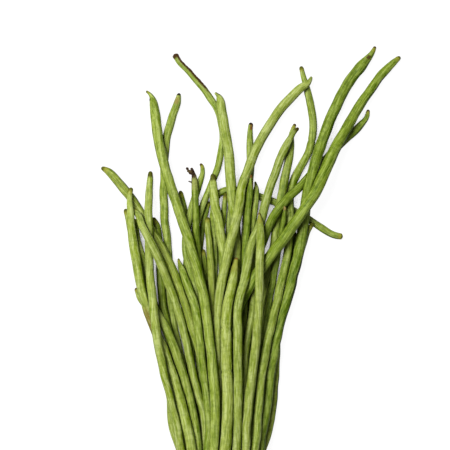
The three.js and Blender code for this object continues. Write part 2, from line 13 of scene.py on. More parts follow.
import bpy
import numpy as np
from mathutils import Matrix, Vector

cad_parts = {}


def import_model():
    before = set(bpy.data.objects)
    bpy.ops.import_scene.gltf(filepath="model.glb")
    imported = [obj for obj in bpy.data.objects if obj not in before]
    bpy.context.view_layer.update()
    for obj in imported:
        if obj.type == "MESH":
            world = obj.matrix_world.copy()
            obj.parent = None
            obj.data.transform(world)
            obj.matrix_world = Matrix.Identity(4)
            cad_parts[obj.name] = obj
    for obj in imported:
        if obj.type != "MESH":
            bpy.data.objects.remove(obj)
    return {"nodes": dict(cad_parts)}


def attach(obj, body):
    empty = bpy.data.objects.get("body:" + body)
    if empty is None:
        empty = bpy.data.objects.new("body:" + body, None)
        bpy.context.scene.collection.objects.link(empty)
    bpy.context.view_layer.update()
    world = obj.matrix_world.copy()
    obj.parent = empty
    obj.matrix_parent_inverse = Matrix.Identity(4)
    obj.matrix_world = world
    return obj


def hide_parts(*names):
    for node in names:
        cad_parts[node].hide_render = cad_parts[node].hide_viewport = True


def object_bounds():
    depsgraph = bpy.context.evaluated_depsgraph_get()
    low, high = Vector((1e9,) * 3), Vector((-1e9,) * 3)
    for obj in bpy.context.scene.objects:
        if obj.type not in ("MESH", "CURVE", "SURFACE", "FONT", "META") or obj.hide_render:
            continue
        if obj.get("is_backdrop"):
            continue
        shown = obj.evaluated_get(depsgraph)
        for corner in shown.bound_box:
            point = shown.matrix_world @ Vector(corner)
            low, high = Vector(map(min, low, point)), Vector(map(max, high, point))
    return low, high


LOG = logging.getLogger("bean_bunch")
MM = 0.001
ROOT_BODY = "root"
UP = np.array([0.0, 0.0, 1.0])
FULL_TURN = 2 * math.pi

Array = np.ndarray
Generator = np.random.Generator
Piece = bpy.types.Object
Material = bpy.types.Material
Socket = bpy.types.NodeSocket
Colour = tuple[float, float, float, float]


def srgb(red: int, green: int, blue: int) -> Colour:
    """A display colour, 0 to 255, as the linear colour with an alpha that a socket takes.

    The display curve is undone channel by channel: c / 12.92 for the darkest values, and
    ((c + 0.055) / 1.055) to the power 2.4 above them.
    """
    shown = np.array([red, green, blue]) / 255
    linear = np.where(shown <= 0.04045, shown / 12.92, ((shown + 0.055) / 1.055) ** 2.4)
    return (*(float(channel) for channel in linear), 1.0)


# ---- Curves and waves ----


def smoothstep(value: Array, low: float, high: float) -> Array:
    """A soft step from 0 at low to 1 at high: 3 t squared less 2 t cubed, t being the share."""
    share = np.clip((value - low) / (high - low), 0, 1)
    return share * share * (3 - 2 * share)


def hump(value: Array, middle: float, width: float) -> Array:
    """A bell: e to the minus square of the distance from the middle, in widths."""
    return np.exp(-(((value - middle) / width) ** 2))


def direction(vector: Array) -> Array:
    """Vectors, one or one a row, brought to a length of 1."""
    return vector / np.linalg.norm(vector, axis=-1, keepdims=True)


@dataclass(frozen=True)
class Wave:
    """An irregular wave: how far it swings, and its shortest and longest wavelengths."""

    swing: float
    shortest: float
    longest: float

    def draw(self, along: Array, rng: Generator) -> Array:
        """The wave's height at each place.

        Args:
            along: The places, in the unit of the wavelengths.
            rng: The seeded source of the wavelengths and phases.

        Returns:
            The mean of five sines, times the square root of five to keep its swing.
        """
        count = 5
        waves = np.exp(rng.uniform(math.log(self.shortest), math.log(self.longest), count))
        phases = rng.uniform(0, FULL_TURN, count)
        sines = np.sin(FULL_TURN * along[..., None] / waves + phases)
        return self.swing * (sines.mean(axis=-1) * math.sqrt(count))


@dataclass(frozen=True)
class PodLine:
    """The line down the middle of a pod, from its tip, and the pod's radius along it, in mm."""

    along: Array
    points: Array
    radii: Array

    @property
    def length(self) -> float:
        """The length of the pod."""
        return float(self.along[-1])

    @classmethod
    def of_node(cls, node: Piece) -> "PodLine":
        """The line of a CAD pod, worked out from its mesh.

        A ring of the pod is every corner that is the same number of edges away from the tip, so
        the middle of the ring lies on the line and its reach is the radius there.

        Args:
            node: The CAD pod, a closed tube with one corner at each end.
        """
        corners, edges = merged_mesh(node)
        spread = np.bincount(edges.ravel(), minlength=len(corners))
        ends = np.argsort(spread)[-2:]
        tip = ends[np.argmax(corners[ends, 1])]
        level = np.full(len(corners), -1)
        level[tip] = 0
        step = 0
        while (level < 0).any():
            for start, end in (edges.T, edges.T[::-1]):
                reached = end[(level[start] == step) & (level[end] < 0)]
                level[reached] = step + 1
            step += 1
        counts = np.bincount(level)
        middles = np.stack([np.bincount(level, corners[:, axis]) / counts for axis in range(3)], 1)
        reach = np.linalg.norm(corners - middles[level], axis=1)
        radii = np.bincount(level, reach) / counts
        radii[0] = radii[1]
        steps = np.linalg.norm(np.diff(middles, axis=0), axis=1)
        return cls(np.concatenate([[0], np.cumsum(steps)]), middles, radii)

    def at(self, along: Array) -> Array:
        """Points on a smooth curve through the middles of the rings.

        The curve is made of cubic pieces. Its slope at a ring is the mean of the slopes before
        and after it, each weighted by the length of the other stretch.

        Args:
            along: Distances from the tip.

        Returns:
            One point for each distance.
        """
        gaps = np.diff(self.along)
        slopes = np.diff(self.points, axis=0) / gaps[:, None]
        before, after = gaps[:-1, None], gaps[1:, None]
        inner = (slopes[:-1] * after + slopes[1:] * before) / (before + after)
        tangents = np.concatenate([slopes[:1], inner, slopes[-1:]])
        piece = np.clip(np.searchsorted(self.along, along, side="right") - 1, 0, len(gaps) - 1)
        gap = gaps[piece]
        share = ((along - self.along[piece]) / gap)[:, None]
        gap = gap[:, None]
        start, end = self.points[piece], self.points[piece + 1]
        return (
            start * (1 + 2 * share) * (1 - share) ** 2
            + tangents[piece] * gap * share * (1 - share) ** 2
            + end * share**2 * (3 - 2 * share)
            + tangents[piece + 1] * gap * share**2 * (share - 1)
        )

    def radius_at(self, along: Array) -> Array:
        """The radius of the tube at each distance, rounded off over a few mm at each ring."""
        reach = 4
        window = np.arange(-reach, reach + 1)
        weights = 1 + np.cos(np.pi * window / (reach + 1))
        samples = np.interp(along[:, None] + window, self.along, self.radii)
        return samples @ (weights / weights.sum())


MICRONS = 1000


def merged_mesh(node: Piece) -> tuple[Array, Array]:
    """The corners of a CAD node in mm, each once, and the edges between them.

    Args:
        node: A CAD node, whose mesh is loose triangles.

    Returns:
        The corners as rows, and the edges as pairs of corner numbers, each edge once.
    """
    mesh = node.data
    places = np.empty(len(mesh.vertices) * 3, np.float32)
    mesh.vertices.foreach_get("co", places)
    rounded = np.round(places.reshape(-1, 3) / MM * MICRONS).astype(np.int64)
    corners, number = np.unique(rounded, axis=0, return_inverse=True)
    mesh.calc_loop_triangles()
    triangles = np.empty(len(mesh.loop_triangles) * 3, np.int32)
    mesh.loop_triangles.foreach_get("vertices", triangles)
    triangles = number.ravel()[triangles].reshape(-1, 3)
    pairs = np.concatenate([triangles[:, [0, 1]], triangles[:, [1, 2]], triangles[:, [2, 0]]])
    return corners / MICRONS, np.unique(np.sort(pairs, axis=1), axis=0)


# ---- Meshes ----

# By the number of channels, the kind of a mesh attribute and the name of its value.
ATTRIBUTE_KINDS = {1: ("FLOAT", "value"), 3: ("FLOAT_VECTOR", "vector"), 4: ("FLOAT_COLOR", "color")}


@dataclass
class Sheet:
    """A grid of points that makes one closed surface, and the values that its finish reads.

    points holds rows round the piece, in mm. Rows are joined one to the next and each row is
    joined round to its own start. Where a pole is given, it closes the first or the last row;
    without poles, the last row is joined to the first.
    """

    points: Array
    poles: Array | None = None
    values: dict[str, Array] = field(default_factory=dict)

    def build(self, name: str) -> Piece:
        """Puts the surface into a mesh object at the origin.

        The face between rows i and i + 1 and columns j and j + 1 has those four points as its
        corners, in the order that turns it outwards; a pole makes a fan of triangles.

        Args:
            name: The name of the piece.

        Returns:
            The piece, linked to the scene.
        """
        rows, columns = self.points.shape[:2]
        grid = np.arange(rows * columns).reshape(rows, columns)
        corners = self.points.reshape(-1, 3)
        fans = []
        if self.poles is None:
            low, high = grid, np.roll(grid, -1, axis=0)
        else:
            low, high = grid[:-1], grid[1:]
            corners = np.concatenate([corners, self.poles])
            first, last = np.full(columns, grid.size), np.full(columns, grid.size + 1)
            fans = [
                *np.stack([np.roll(grid[0], -1), grid[0], first], axis=1).tolist(),
                *np.stack([grid[-1], np.roll(grid[-1], -1), last], axis=1).tolist(),
            ]
        quads = np.stack([low, np.roll(low, -1, axis=1), np.roll(high, -1, axis=1), high], axis=-1)
        mesh = bpy.data.meshes.new(name)
        mesh.from_pydata((corners * MM).tolist(), [], [*quads.reshape(-1, 4).tolist(), *fans])
        mesh.polygons.foreach_set("use_smooth", np.ones(len(mesh.polygons), bool))
        for label, value in self.values.items():
            self.store(mesh, label, value)
        mesh.validate()
        piece = bpy.data.objects.new(name, mesh)
        bpy.context.scene.collection.objects.link(piece)
        return piece

    def store(self, mesh: bpy.types.Mesh, label: str, value: Array) -> None:
        """Stores a value for each point of the grid, and for each pole the mean of its row.

        Args:
            mesh: The finished mesh.
            label: The name that materials read.
            value: One number, three coordinates or four colour channels for each grid point.
        """
        rows, columns = self.points.shape[:2]
        channels = 1 if value.ndim == 2 else value.shape[2]
        flat = value.reshape(rows * columns, channels)
        if self.poles is not None:
            ends = np.stack([flat[:columns].mean(axis=0), flat[-columns:].mean(axis=0)])
            flat = np.concatenate([flat, ends])
        kind, slot = ATTRIBUTE_KINDS[channels]
        attribute = mesh.attributes.new(label, kind, "POINT")
        attribute.data.foreach_set(slot, flat.astype(np.float32).ravel())


# ---- Shader graphs ----


@dataclass(frozen=True)
class Coat:
    """How a coat shows its relief, how high a relief of 1 stands in mm, and how it mirrors."""

    bump: float
    height: float
    specular: float = 0.5


class Graph:
    """A node tree that is being put together."""

    def __init__(self, tree: bpy.types.NodeTree) -> None:
        """Starts on a tree."""
        self.tree = tree

    @classmethod
    def of_material(cls, name: str) -> tuple[Material, "Graph"]:
        """A new material and its graph, which is still empty."""
        material = bpy.data.materials.new(name)
        material.use_nodes = True
        material.node_tree.nodes.clear()
        return material, cls(material.node_tree)

    def add(self, kind: str, inputs: dict | None = None, **settings: object) -> bpy.types.Node:
        """Adds a node.

        Args:
            kind: The node's type.
            inputs: For each input by name or number, a value or the socket that feeds it.
            settings: The node's own properties.

        Returns:
            The node.
        """
        node = self.tree.nodes.new(kind)
        for label, setting in settings.items():
            setattr(node, label, setting)
        for label, value in (inputs or {}).items():
            self.feed(node.inputs[label], value)
        return node

    def feed(self, socket: Socket, value: object) -> None:
        """Links a socket to another one, or sets its value."""
        if isinstance(value, Socket):
            self.tree.links.new(value, socket)
        else:
            socket.default_value = value

    def math(self, operation: str, *values: object, clamp: bool = False) -> Socket:
        """The result of a Math node on up to three values or sockets."""
        inputs = dict(enumerate(values))
        return self.add("ShaderNodeMath", inputs, operation=operation, use_clamp=clamp).outputs[0]

    def attribute(self, name: str, output: str) -> Socket:
        """An output of the node that reads one of the piece's own values."""
        return self.add("ShaderNodeAttribute", attribute_name=name).outputs[output]

    def scaled(self, vector: object, scale: object) -> Socket:
        """A vector times another one, axis by axis."""
        node = self.add("ShaderNodeVectorMath", {0: vector, 1: scale}, operation="MULTIPLY")
        return node.outputs[0]

    def mix(self, share: object, first: object, second: object) -> Socket:
        """The first colour, with a share of 0 to 1 of the second mixed into it."""
        return self.add("ShaderNodeMix", {0: share, 6: first, 7: second}, data_type="RGBA").outputs[2]

    def remap(self, value: object, low: object, high: object, start: float = 0, end: float = 1) -> Socket:
        """A value whose range low to high becomes start to end, eased at both ends."""
        inputs = {"Value": value, "From Min": low, "From Max": high, "To Min": start, "To Max": end}
        return self.add("ShaderNodeMapRange", inputs, interpolation_type="SMOOTHSTEP").outputs[0]

    def noise(self, vector: object, scale: object, detail: float, rough: float = 0.5) -> Socket:
        """Noise with so many waves in a unit of the vector, about 0.5 on average."""
        inputs = {"Vector": vector, "Scale": scale, "Detail": detail, "Roughness": rough}
        return self.add("ShaderNodeTexNoise", inputs).outputs["Fac"]

    def openness(self, reach: float) -> Socket:
        """How open the space over the surface is within a reach in metres, 0 where it is shut."""
        return self.add("ShaderNodeAmbientOcclusion", {"Distance": reach}, samples=6).outputs["AO"]

    def coat(self, colour: object, roughness: object, relief: object, coat: Coat) -> None:
        """Ends a material in a coat, given its colour, its roughness and its relief's height."""
        raised = {"Strength": coat.bump, "Distance": coat.height * MM, "Height": relief}
        normal = self.add("ShaderNodeBump", raised).outputs[0]
        inputs = {"Base Color": colour, "Roughness": roughness, "Normal": normal}
        shader = self.add("ShaderNodeBsdfPrincipled", inputs | {"Specular IOR Level": coat.specular})
        self.add("ShaderNodeOutputMaterial", {"Surface": shader.outputs[0]})


class Effect:
    """A shader node group with named inputs and outputs, built once and placed in materials."""

    def __init__(self, name: str, inputs: dict[str, object], outputs: dict[str, str]) -> None:
        """Makes an empty group.

        Args:
            name: What the effect is.
            inputs: For each input, its value until it is fed: a number, a colour, or None for a
                vector.
            outputs: For each output, the type of its socket.
        """
        self.tree = bpy.data.node_groups.new(name, "ShaderNodeTree")
        kinds = {float: "NodeSocketFloat", tuple: "NodeSocketColor", type(None): "NodeSocketVector"}
        for label, value in inputs.items():
            kind = kinds[type(value)]
            socket = self.tree.interface.new_socket(label, in_out="INPUT", socket_type=kind)
            if value is not None:
                socket.default_value = value
        for label, kind in outputs.items():
            self.tree.interface.new_socket(label, in_out="OUTPUT", socket_type=kind)
        self.graph = Graph(self.tree)
        self.inputs = self.graph.add("NodeGroupInput").outputs
        self.results = self.graph.add("NodeGroupOutput").inputs

    def place(self, graph: Graph, **inputs: object) -> bpy.types.bpy_prop_collection:
        """Places the effect in a material.

        Args:
            graph: The material's graph.
            inputs: Values or sockets for the effect's inputs, by name.

        Returns:
            The outputs of the placed group.
        """
        node = graph.add("ShaderNodeGroup", node_tree=self.tree)
        for label, value in inputs.items():
            graph.feed(node.inputs[label], value)
        return node.outputs


MASK = {"Mask": "NodeSocketFloat"}


class Effects:
    """The surface effects that several materials share."""

    def __init__(self) -> None:
        """Builds every effect."""
        self.streaks = self.make_streaks()
        self.mottling = self.make_mottling()
        self.specks = self.make_specks()
        self.seam = self.make_seam()
        self.weathering = self.make_weathering()

    @staticmethod
    def put_noise(effect: Effect, vector: object, scale: object, detail: float, rough: float) -> None:
        """Makes an effect's Mask from noise, the steeper the more Contrast the effect is given."""
        graph, gain, least = effect.graph, 0.4, 0.08
        low = graph.math("MULTIPLY_ADD", effect.inputs["Contrast"], gain, least)
        high = graph.math("SUBTRACT", 1.0, low)
        noise = graph.noise(vector, scale, detail, rough)
        graph.feed(effect.results["Mask"], graph.remap(noise, low, high))

    @classmethod
    def make_streaks(cls) -> Effect:
        """Long soft streaks: noise on coordinates drawn out along the piece.

        Returns:
            An effect with Vector, Width and Length in the vector's unit, and Contrast.
        """
        inputs = {"Vector": None, "Width": 1.0, "Length": 10.0, "Contrast": 0.5}
        effect = Effect("long_streaks", inputs, MASK)
        graph, given = effect.graph, effect.inputs
        across = graph.math("DIVIDE", 1.0, given["Width"])
        down = graph.math("DIVIDE", 1.0, given["Length"])
        scale = graph.add("ShaderNodeCombineXYZ", {"X": across, "Y": across, "Z": down}).outputs[0]
        cls.put_noise(effect, graph.scaled(given["Vector"], scale), 1.0, detail=2.5, rough=0.55)
        return effect

    @classmethod
    def make_mottling(cls) -> Effect:
        """Blotches: noise of an even size.

        Returns:
            An effect with Vector, Size in the vector's unit, and Contrast.
        """
        effect = Effect("mottling", {"Vector": None, "Size": 2.0, "Contrast": 0.5}, MASK)
        scale = effect.graph.math("DIVIDE", 1.0, effect.inputs["Size"])
        cls.put_noise(effect, effect.inputs["Vector"], scale, detail=4.0, rough=0.6)
        return effect

    @staticmethod
    def make_specks() -> Effect:
        """Small separate specks: the neighbourhood of scattered points, some of them left out.

        Returns:
            An effect with Vector, Spacing in the vector's unit, and Size as a share of it.
        """
        effect = Effect("specks", {"Vector": None, "Spacing": 1.5, "Size": 0.2}, MASK)
        graph, given = effect.graph, effect.inputs
        scale = graph.math("DIVIDE", 1.0, given["Spacing"])
        cells = graph.add("ShaderNodeTexVoronoi", {"Vector": given["Vector"], "Scale": scale})
        dot = graph.remap(cells.outputs["Distance"], given["Size"], 0.0)
        chance = graph.add("ShaderNodeSeparateColor", {"Color": cells.outputs["Color"]}).outputs[0]
        dropped, whole = 0.45, 0.6
        kept = graph.remap(chance, dropped, whole)
        graph.feed(effect.results["Mask"], graph.math("MULTIPLY", dot, kept))
        return effect

    @staticmethod
    def make_seam() -> Effect:
        """The two seams of a pod: thin lines where the straightened pod's second axis is zero.

        Returns:
            An effect with Vector, Width and Wander in the vector's unit, whose Line is the
            seam's own line and whose Border is the soft stripe on both sides of it.
        """
        outputs = {"Line": "NodeSocketFloat", "Border": "NodeSocketFloat"}
        effect = Effect("pod_seam", {"Vector": None, "Width": 0.3, "Wander": 0.2}, outputs)
        graph, given = effect.graph, effect.inputs
        waves_per_unit, border_widths = 0.12, 4.0
        split = graph.add("ShaderNodeSeparateXYZ", {"Vector": given["Vector"]}).outputs
        lengthwise = graph.add("ShaderNodeCombineXYZ", {"Z": split["Z"]}).outputs[0]
        noise = graph.noise(lengthwise, waves_per_unit, detail=2.0)
        drift = graph.math("MULTIPLY", graph.math("SUBTRACT", noise, 0.5), given["Wander"])
        aside = graph.math("ABSOLUTE", graph.math("ADD", split["Y"], drift))
        graph.feed(effect.results["Line"], graph.remap(aside, given["Width"], 0.0))
        border = graph.math("MULTIPLY", given["Width"], border_widths)
        graph.feed(effect.results["Border"], graph.remap(aside, border, 0.0))
        return effect

    @staticmethod
    def make_weathering() -> Effect:
        """Dried, bruised or ripened places: a tint that breaks up into blotches at its edge.

        Returns:
            An effect with Vector, Colour, Tint and Strength, whose Mask is where the tint lies.
        """
        grey = (0.5, 0.5, 0.5, 1.0)
        inputs = {"Vector": None, "Colour": grey, "Tint": grey, "Strength": 0.0}
        effect = Effect("weathering", inputs, {"Colour": "NodeSocketColor", "Mask": "NodeSocketFloat"})
        graph, given = effect.graph, effect.inputs
        waves_per_unit, gain, least = 0.7, 1.3, 0.35
        bare, covered = 0.05, 0.85
        noise = graph.noise(given["Vector"], waves_per_unit, detail=4.0)
        broken = graph.math("MULTIPLY_ADD", noise, gain, least)
        mask = graph.remap(graph.math("MULTIPLY", given["Strength"], broken), bare, covered)
        graph.feed(effect.results["Mask"], mask)
        graph.feed(effect.results["Colour"], graph.mix(mask, given["Colour"], given["Tint"]))
        return effect


# ---- Finishes ----


class Skin(Enum):
    """The material slots of the record."""

    GREEN = "pod_green"
    PALE = "pod_pale"
    DEEP = "pod_deep"
    RUBBER = "band_rubber"


@dataclass(frozen=True)
class Layer:
    """A colour of the skin that is laid over it where a pattern is.

    It starts at one value of the pattern and is full at another. With neither, it is as strong
    as the pattern. Either way, strength is the most that it covers.
    """

    pattern: str
    colour: str
    strength: float
    start: float | None = None
    full: float | None = None

    def share(self, graph: Graph, pattern: Socket) -> Socket:
        """How much the layer covers, given its pattern."""
        if self.start is None:
            return graph.math("MULTIPLY", pattern, self.strength)
        return graph.remap(pattern, self.start, self.full, 0.0, self.strength)


# How far patterns swing a pod's skin between its colour of painted shade and its colour of painted light.
SWINGS = {"broad": 0.6, "blotch": 0.4}

# What lies over those two, from the skin upwards.
LAYERS = (
    Layer("stripe", "bloom", 0.62, 0.5, 1.0),
    Layer("stripe", "vein", 0.36, 0.45, 0.0),
    Layer("fine", "bloom", 0.42, 0.6, 1.0),
    Layer("fine", "vein", 0.3, 0.4, 0.0),
    Layer("ripple", "vein", 0.22, 0.45, 0.0),
    Layer("speck", "bloom", 0.35),
    Layer("seam_border", "bloom", 0.2),
    Layer("seam_line", "vein", 0.7),
    # Painted shade: the side of the pod away from the light darkens into a dark line along its edge.
    Layer("facing", "painted_shade_edge", 1.0, 0.44, 0.22),
    # Painted shade: the skin darkens where the space over it is shut, in narrow gaps and where pods touch.
    Layer("openness", "painted_gap_shade", 0.95, 0.5, 0.15),
)

# How far patterns stand out of the skin, or below 0 sink into it.
RELIEF = {"speck": 0.35, "fine": 0.4, "stripe": 0.9, "ripple": 0.6, "seam_line": -0.9, "crumpled": 1.4}


@dataclass(frozen=True)
class PodFinish:
    """Pod skin: a paler face painted as lit, towards the upper left, a richer face painted as shaded, away
    from it, and streaks along the pod.
    """

    skin: Skin
    # The next two colours are painted light and shade: the skin on the side that faces the upper left, and
    # on the side away from it.
    painted_light_side: Colour
    painted_shade_side: Colour
    bloom: Colour
    vein: Colour
    # The next colour is painted shade, a dark line along the edge away from the light.
    painted_shade_edge: Colour
    # The next colour is painted shade in narrow gaps and where pods touch, with the reach in mm within
    # which the space counts as shut.
    painted_gap_shade: Colour = srgb(22, 30, 2)
    painted_gap_shade_reach: float = 5.0
    # The range of the swing over which the painted shade colour turns into the painted light colour.
    painted_light_range: tuple[float, float] = (0.3, 0.9)
    hue_by_warmth: float = -0.009
    value_by_tone: float = 0.25
    roughness: float = 0.44
    blotch_roughness: float = 0.12
    worn_roughness: float = 0.22
    coat: Coat = Coat(bump=0.6, height=0.2, specular=0.14)

    def patterns(self, graph: Graph, effects: Effects, straight: object) -> dict[str, object]:
        """Places the patterns that the skin's colours and relief follow.

        Args:
            graph: The material's graph.
            effects: The shared effects.
            straight: The pod's straightened coordinates in mm.

        Returns:
            The socket of each pattern, by its name.
        """
        streaks, mottling = effects.streaks, effects.mottling
        placed = {
            "broad": (streaks, {"Width": 3.0, "Length": 60.0, "Contrast": 0.68}),
            "stripe": (streaks, {"Width": 1.7, "Length": 17.0, "Contrast": 0.62}),
            "fine": (streaks, {"Width": 0.55, "Length": 8.0, "Contrast": 0.65}),
            "ripple": (streaks, {"Width": 6.0, "Length": 2.4, "Contrast": 0.7}),
            "blotch": (mottling, {"Size": 4.5, "Contrast": 0.72}),
            "crumple": (mottling, {"Size": 0.8, "Contrast": 0.9}),
            "speck": (effects.specks, {"Spacing": 1.7, "Size": 0.25}),
        }
        masks = {
            name: effect.place(graph, Vector=straight, **settings)["Mask"]
            for name, (effect, settings) in placed.items()
        }
        seam = effects.seam.place(graph, Vector=straight, Width=0.28, Wander=0.5)
        return masks | {
            "seam_line": seam["Line"],
            "seam_border": seam["Border"],
            # How far each point faces the upper left: the mask of the painted light and shade.
            "facing": graph.attribute("painted_light_side", "Fac"),
            # How open the space over the skin is, for its painted shade in the gaps.
            "openness": graph.openness(self.painted_gap_shade_reach * MM),
        }

    def build(self, effects: Effects) -> Material:
        """Makes the material, from the shared effects.

        It reads the pod's straightened coordinates in mm, how far each point faces the upper left, which
        sets its painted light and shade, the pod's character (lighter or darker, yellower or greener) and
        its tints.
        """
        material, graph = Graph.of_material(self.skin.value)
        straight = graph.attribute("straight", "Vector")
        patterns = self.patterns(graph, effects, straight)
        # Painted light and shade: the skin turns from its shaded colour to its lit colour as it faces the
        # upper left, broken up by broad streaks and blotches.
        swing = patterns["facing"]
        for name, reach in SWINGS.items():
            swing = graph.math("MULTIPLY_ADD", graph.math("SUBTRACT", patterns[name], 0.5), reach, swing)
        colour = graph.mix(graph.remap(swing, *self.painted_light_range), self.painted_shade_side, self.painted_light_side)
        for layer in LAYERS:
            share = layer.share(graph, patterns[layer.pattern])
            colour = graph.mix(share, colour, getattr(self, layer.colour))

        character = graph.attribute("character", "Vector")
        tone, warmth, _ = graph.add("ShaderNodeSeparateXYZ", {"Vector": character}).outputs
        hue = graph.math("MULTIPLY_ADD", warmth, self.hue_by_warmth, 0.5)
        value = graph.math("MULTIPLY_ADD", tone, self.value_by_tone, 1.0)
        shifted = {"Hue": hue, "Value": value, "Color": colour}
        varied = graph.add("ShaderNodeHueSaturation", shifted).outputs[0]
        tint, strength = graph.attribute("tint", "Color"), graph.attribute("tint", "Alpha")
        worn = effects.weathering.place(graph, Vector=straight, Colour=varied, Tint=tint, Strength=strength)

        rough = graph.math("MULTIPLY_ADD", patterns["blotch"], self.blotch_roughness, self.roughness)
        rough = graph.math("MULTIPLY_ADD", worn["Mask"], self.worn_roughness, rough, clamp=True)
        patterns["crumpled"] = graph.math("MULTIPLY", patterns["crumple"], worn["Mask"])
        relief = 0.0
        for name, height in RELIEF.items():
            relief = graph.math("MULTIPLY_ADD", patterns[name], height, relief)
        graph.coat(worn["Colour"], rough, relief, self.coat)
        return material


@dataclass(frozen=True)
class RubberFinish:
    """Natural rubber: tan, a little powdery, with fine marks all over."""

    body: Colour = srgb(176, 128, 74)
    powder: Colour = srgb(206, 170, 122)
    dusting: float = 0.7
    speckling: float = 0.4
    roughness: float = 0.55
    grain_roughness: float = 0.15
    coat: Coat = Coat(bump=0.35, height=0.1)

    def build(self, effects: Effects) -> Material:
        """Makes the material, from the shared effects on the band's own coordinates in mm."""
        material, graph = Graph.of_material(Skin.RUBBER.value)
        place = graph.add("ShaderNodeTexCoord").outputs["Object"]
        place = graph.scaled(place, (1 / MM, 1 / MM, 1 / MM))
        dusty = effects.mottling.place(graph, Vector=place, Size=5.0, Contrast=0.7)["Mask"]
        grain = effects.mottling.place(graph, Vector=place, Size=0.5, Contrast=0.8)["Mask"]
        speck = effects.specks.place(graph, Vector=place, Spacing=1.1, Size=0.25)["Mask"]
        colour = graph.mix(graph.math("MULTIPLY", dusty, self.dusting), self.body, self.powder)
        colour = graph.mix(graph.math("MULTIPLY", speck, self.speckling), colour, self.powder)
        relief = graph.math("MULTIPLY_ADD", speck, 0.5, grain)
        rough = graph.math("MULTIPLY_ADD", grain, self.grain_roughness, self.roughness)
        graph.coat(colour, rough, relief, self.coat)
        return material


@dataclass(frozen=True)
class TableFinish:
    """A pale matt table top, lit up just enough to keep shadows on it faint.

    The camera sees the table glow, by a share of at most lift, wherever the space over it is
    open. In narrow gaps between the pods it stays dark. Reaches are in metres.
    """

    paint: Colour = (0.62, 0.62, 0.615, 1.0)
    shade: Colour = (0.6, 0.6, 0.6, 1.0)
    cloud_size: float = 0.15
    roughness: float = 0.9
    glow: float = 1.22
    lift: float = 0.78
    gap_reach: float = 0.03
    shut: float = 0.03
    open: float = 0.15

    def build(self, effects: Effects) -> Material:
        """Makes the material, from the shared effects on the table's own coordinates."""
        material, graph = Graph.of_material("pale_table")
        place = graph.add("ShaderNodeTexCoord").outputs["Object"]
        cloud = effects.mottling.place(graph, Vector=place, Size=self.cloud_size, Contrast=0.5)["Mask"]
        colour = graph.mix(cloud, self.paint, self.shade)
        matt = graph.add("ShaderNodeBsdfPrincipled", {"Base Color": colour, "Roughness": self.roughness})
        glow = graph.add("ShaderNodeEmission", {"Strength": self.glow})
        seen = graph.add("ShaderNodeLightPath").outputs["Is Camera Ray"]
        clear = graph.remap(graph.openness(self.gap_reach), self.shut, self.open, 0.0, self.lift)
        share = graph.math("MULTIPLY", seen, clear)
        lit = graph.add("ShaderNodeMixShader", {0: share, 1: matt.outputs[0], 2: glow.outputs[0]})
        graph.add("ShaderNodeOutputMaterial", {"Surface": lit.outputs[0]})
        return material


# Each finish holds its colours of painted light and shade (the lit side, the shaded side and the dark edge)
# next to the skin's own bloom and veins.
POD_FINISHES = (
    PodFinish(
        Skin.GREEN,
        painted_light_side=srgb(150, 168, 58),
        painted_shade_side=srgb(114, 140, 4),
        bloom=srgb(192, 205, 120),
        vein=srgb(60, 86, 1),
        painted_shade_edge=srgb(46, 60, 5),
    ),
    PodFinish(
        Skin.PALE,
        painted_light_side=srgb(163, 179, 76),
        painted_shade_side=srgb(130, 152, 8),
        bloom=srgb(200, 212, 136),
        vein=srgb(78, 104, 2),
        painted_shade_edge=srgb(60, 74, 10),
    ),
    PodFinish(
        Skin.DEEP,
        painted_light_side=srgb(124, 145, 36),
        painted_shade_side=srgb(90, 117, 2),
        bloom=srgb(166, 183, 88),
        vein=srgb(44, 66, 1),
        painted_shade_edge=srgb(34, 46, 4),
    ),
)


# ---- Pods ----


@dataclass(frozen=True)
class Tip:
    """How a pod ends, in mm: a beak of some length and radius, and the shoulder behind it."""

    beak: float
    radius: float
    shoulder: float


class TipForm(Enum):
    """The ends that pods have."""

    BEAK = Tip(beak=5.5, radius=1.0, shoulder=9.0)
    LONG_BEAK = Tip(beak=4.5, radius=1.25, shoulder=16.0)
    STUB = Tip(beak=2.6, radius=1.35, shoulder=6.0)
    POINT = Tip(beak=3.0, radius=0.75, shoulder=11.0)
    BLUNT = Tip(beak=0.6, radius=1.7, shoulder=4.0)


class Stain(Enum):
    """The colours of dried, ripened and bruised places."""

    BLACK = srgb(34, 24, 12)
    BROWN = srgb(78, 52, 20)
    RUST = srgb(122, 84, 34)
    PURPLE = srgb(58, 36, 30)
    TAN = srgb(160, 142, 80)
    YELLOW = srgb(158, 158, 56)
    OLIVE = srgb(88, 92, 18)
    STRAW = srgb(176, 180, 104)


@dataclass(frozen=True)
class Mark:
    """A stained place: how far from the tip, how far it reaches, and which way it faces.

    facing is the angle round the pod, 0 to the right and 90 upwards, in degrees, or None for all
    round it.
    """

    stain: Stain
    at: float
    reach: float
    strength: float = 0.9
    facing: float | None = None
    spread: float = 60.0

    def cover(self, along: Array, angle: Array) -> Array:
        """How strongly the mark covers each point.

        Args:
            along: Distances from the tip, as a column.
            angle: Angles round the pod, as a row or a grid.

        Returns:
            The strength times a soft step down with distance from the mark's middle, in reaches,
            and one with the angle away from its facing, in spreads.
        """
        core, core_spread = 0.35, 0.4
        amount = self.strength * (1 - smoothstep(np.abs(along - self.at), core * self.reach, self.reach))
        if self.facing is None:
            return amount * np.ones_like(angle)
        away = np.abs(np.angle(np.exp(1j * (angle - math.radians(self.facing)))))
        spread = math.radians(self.spread)
        return amount * (1 - smoothstep(away, core_spread * spread, spread))


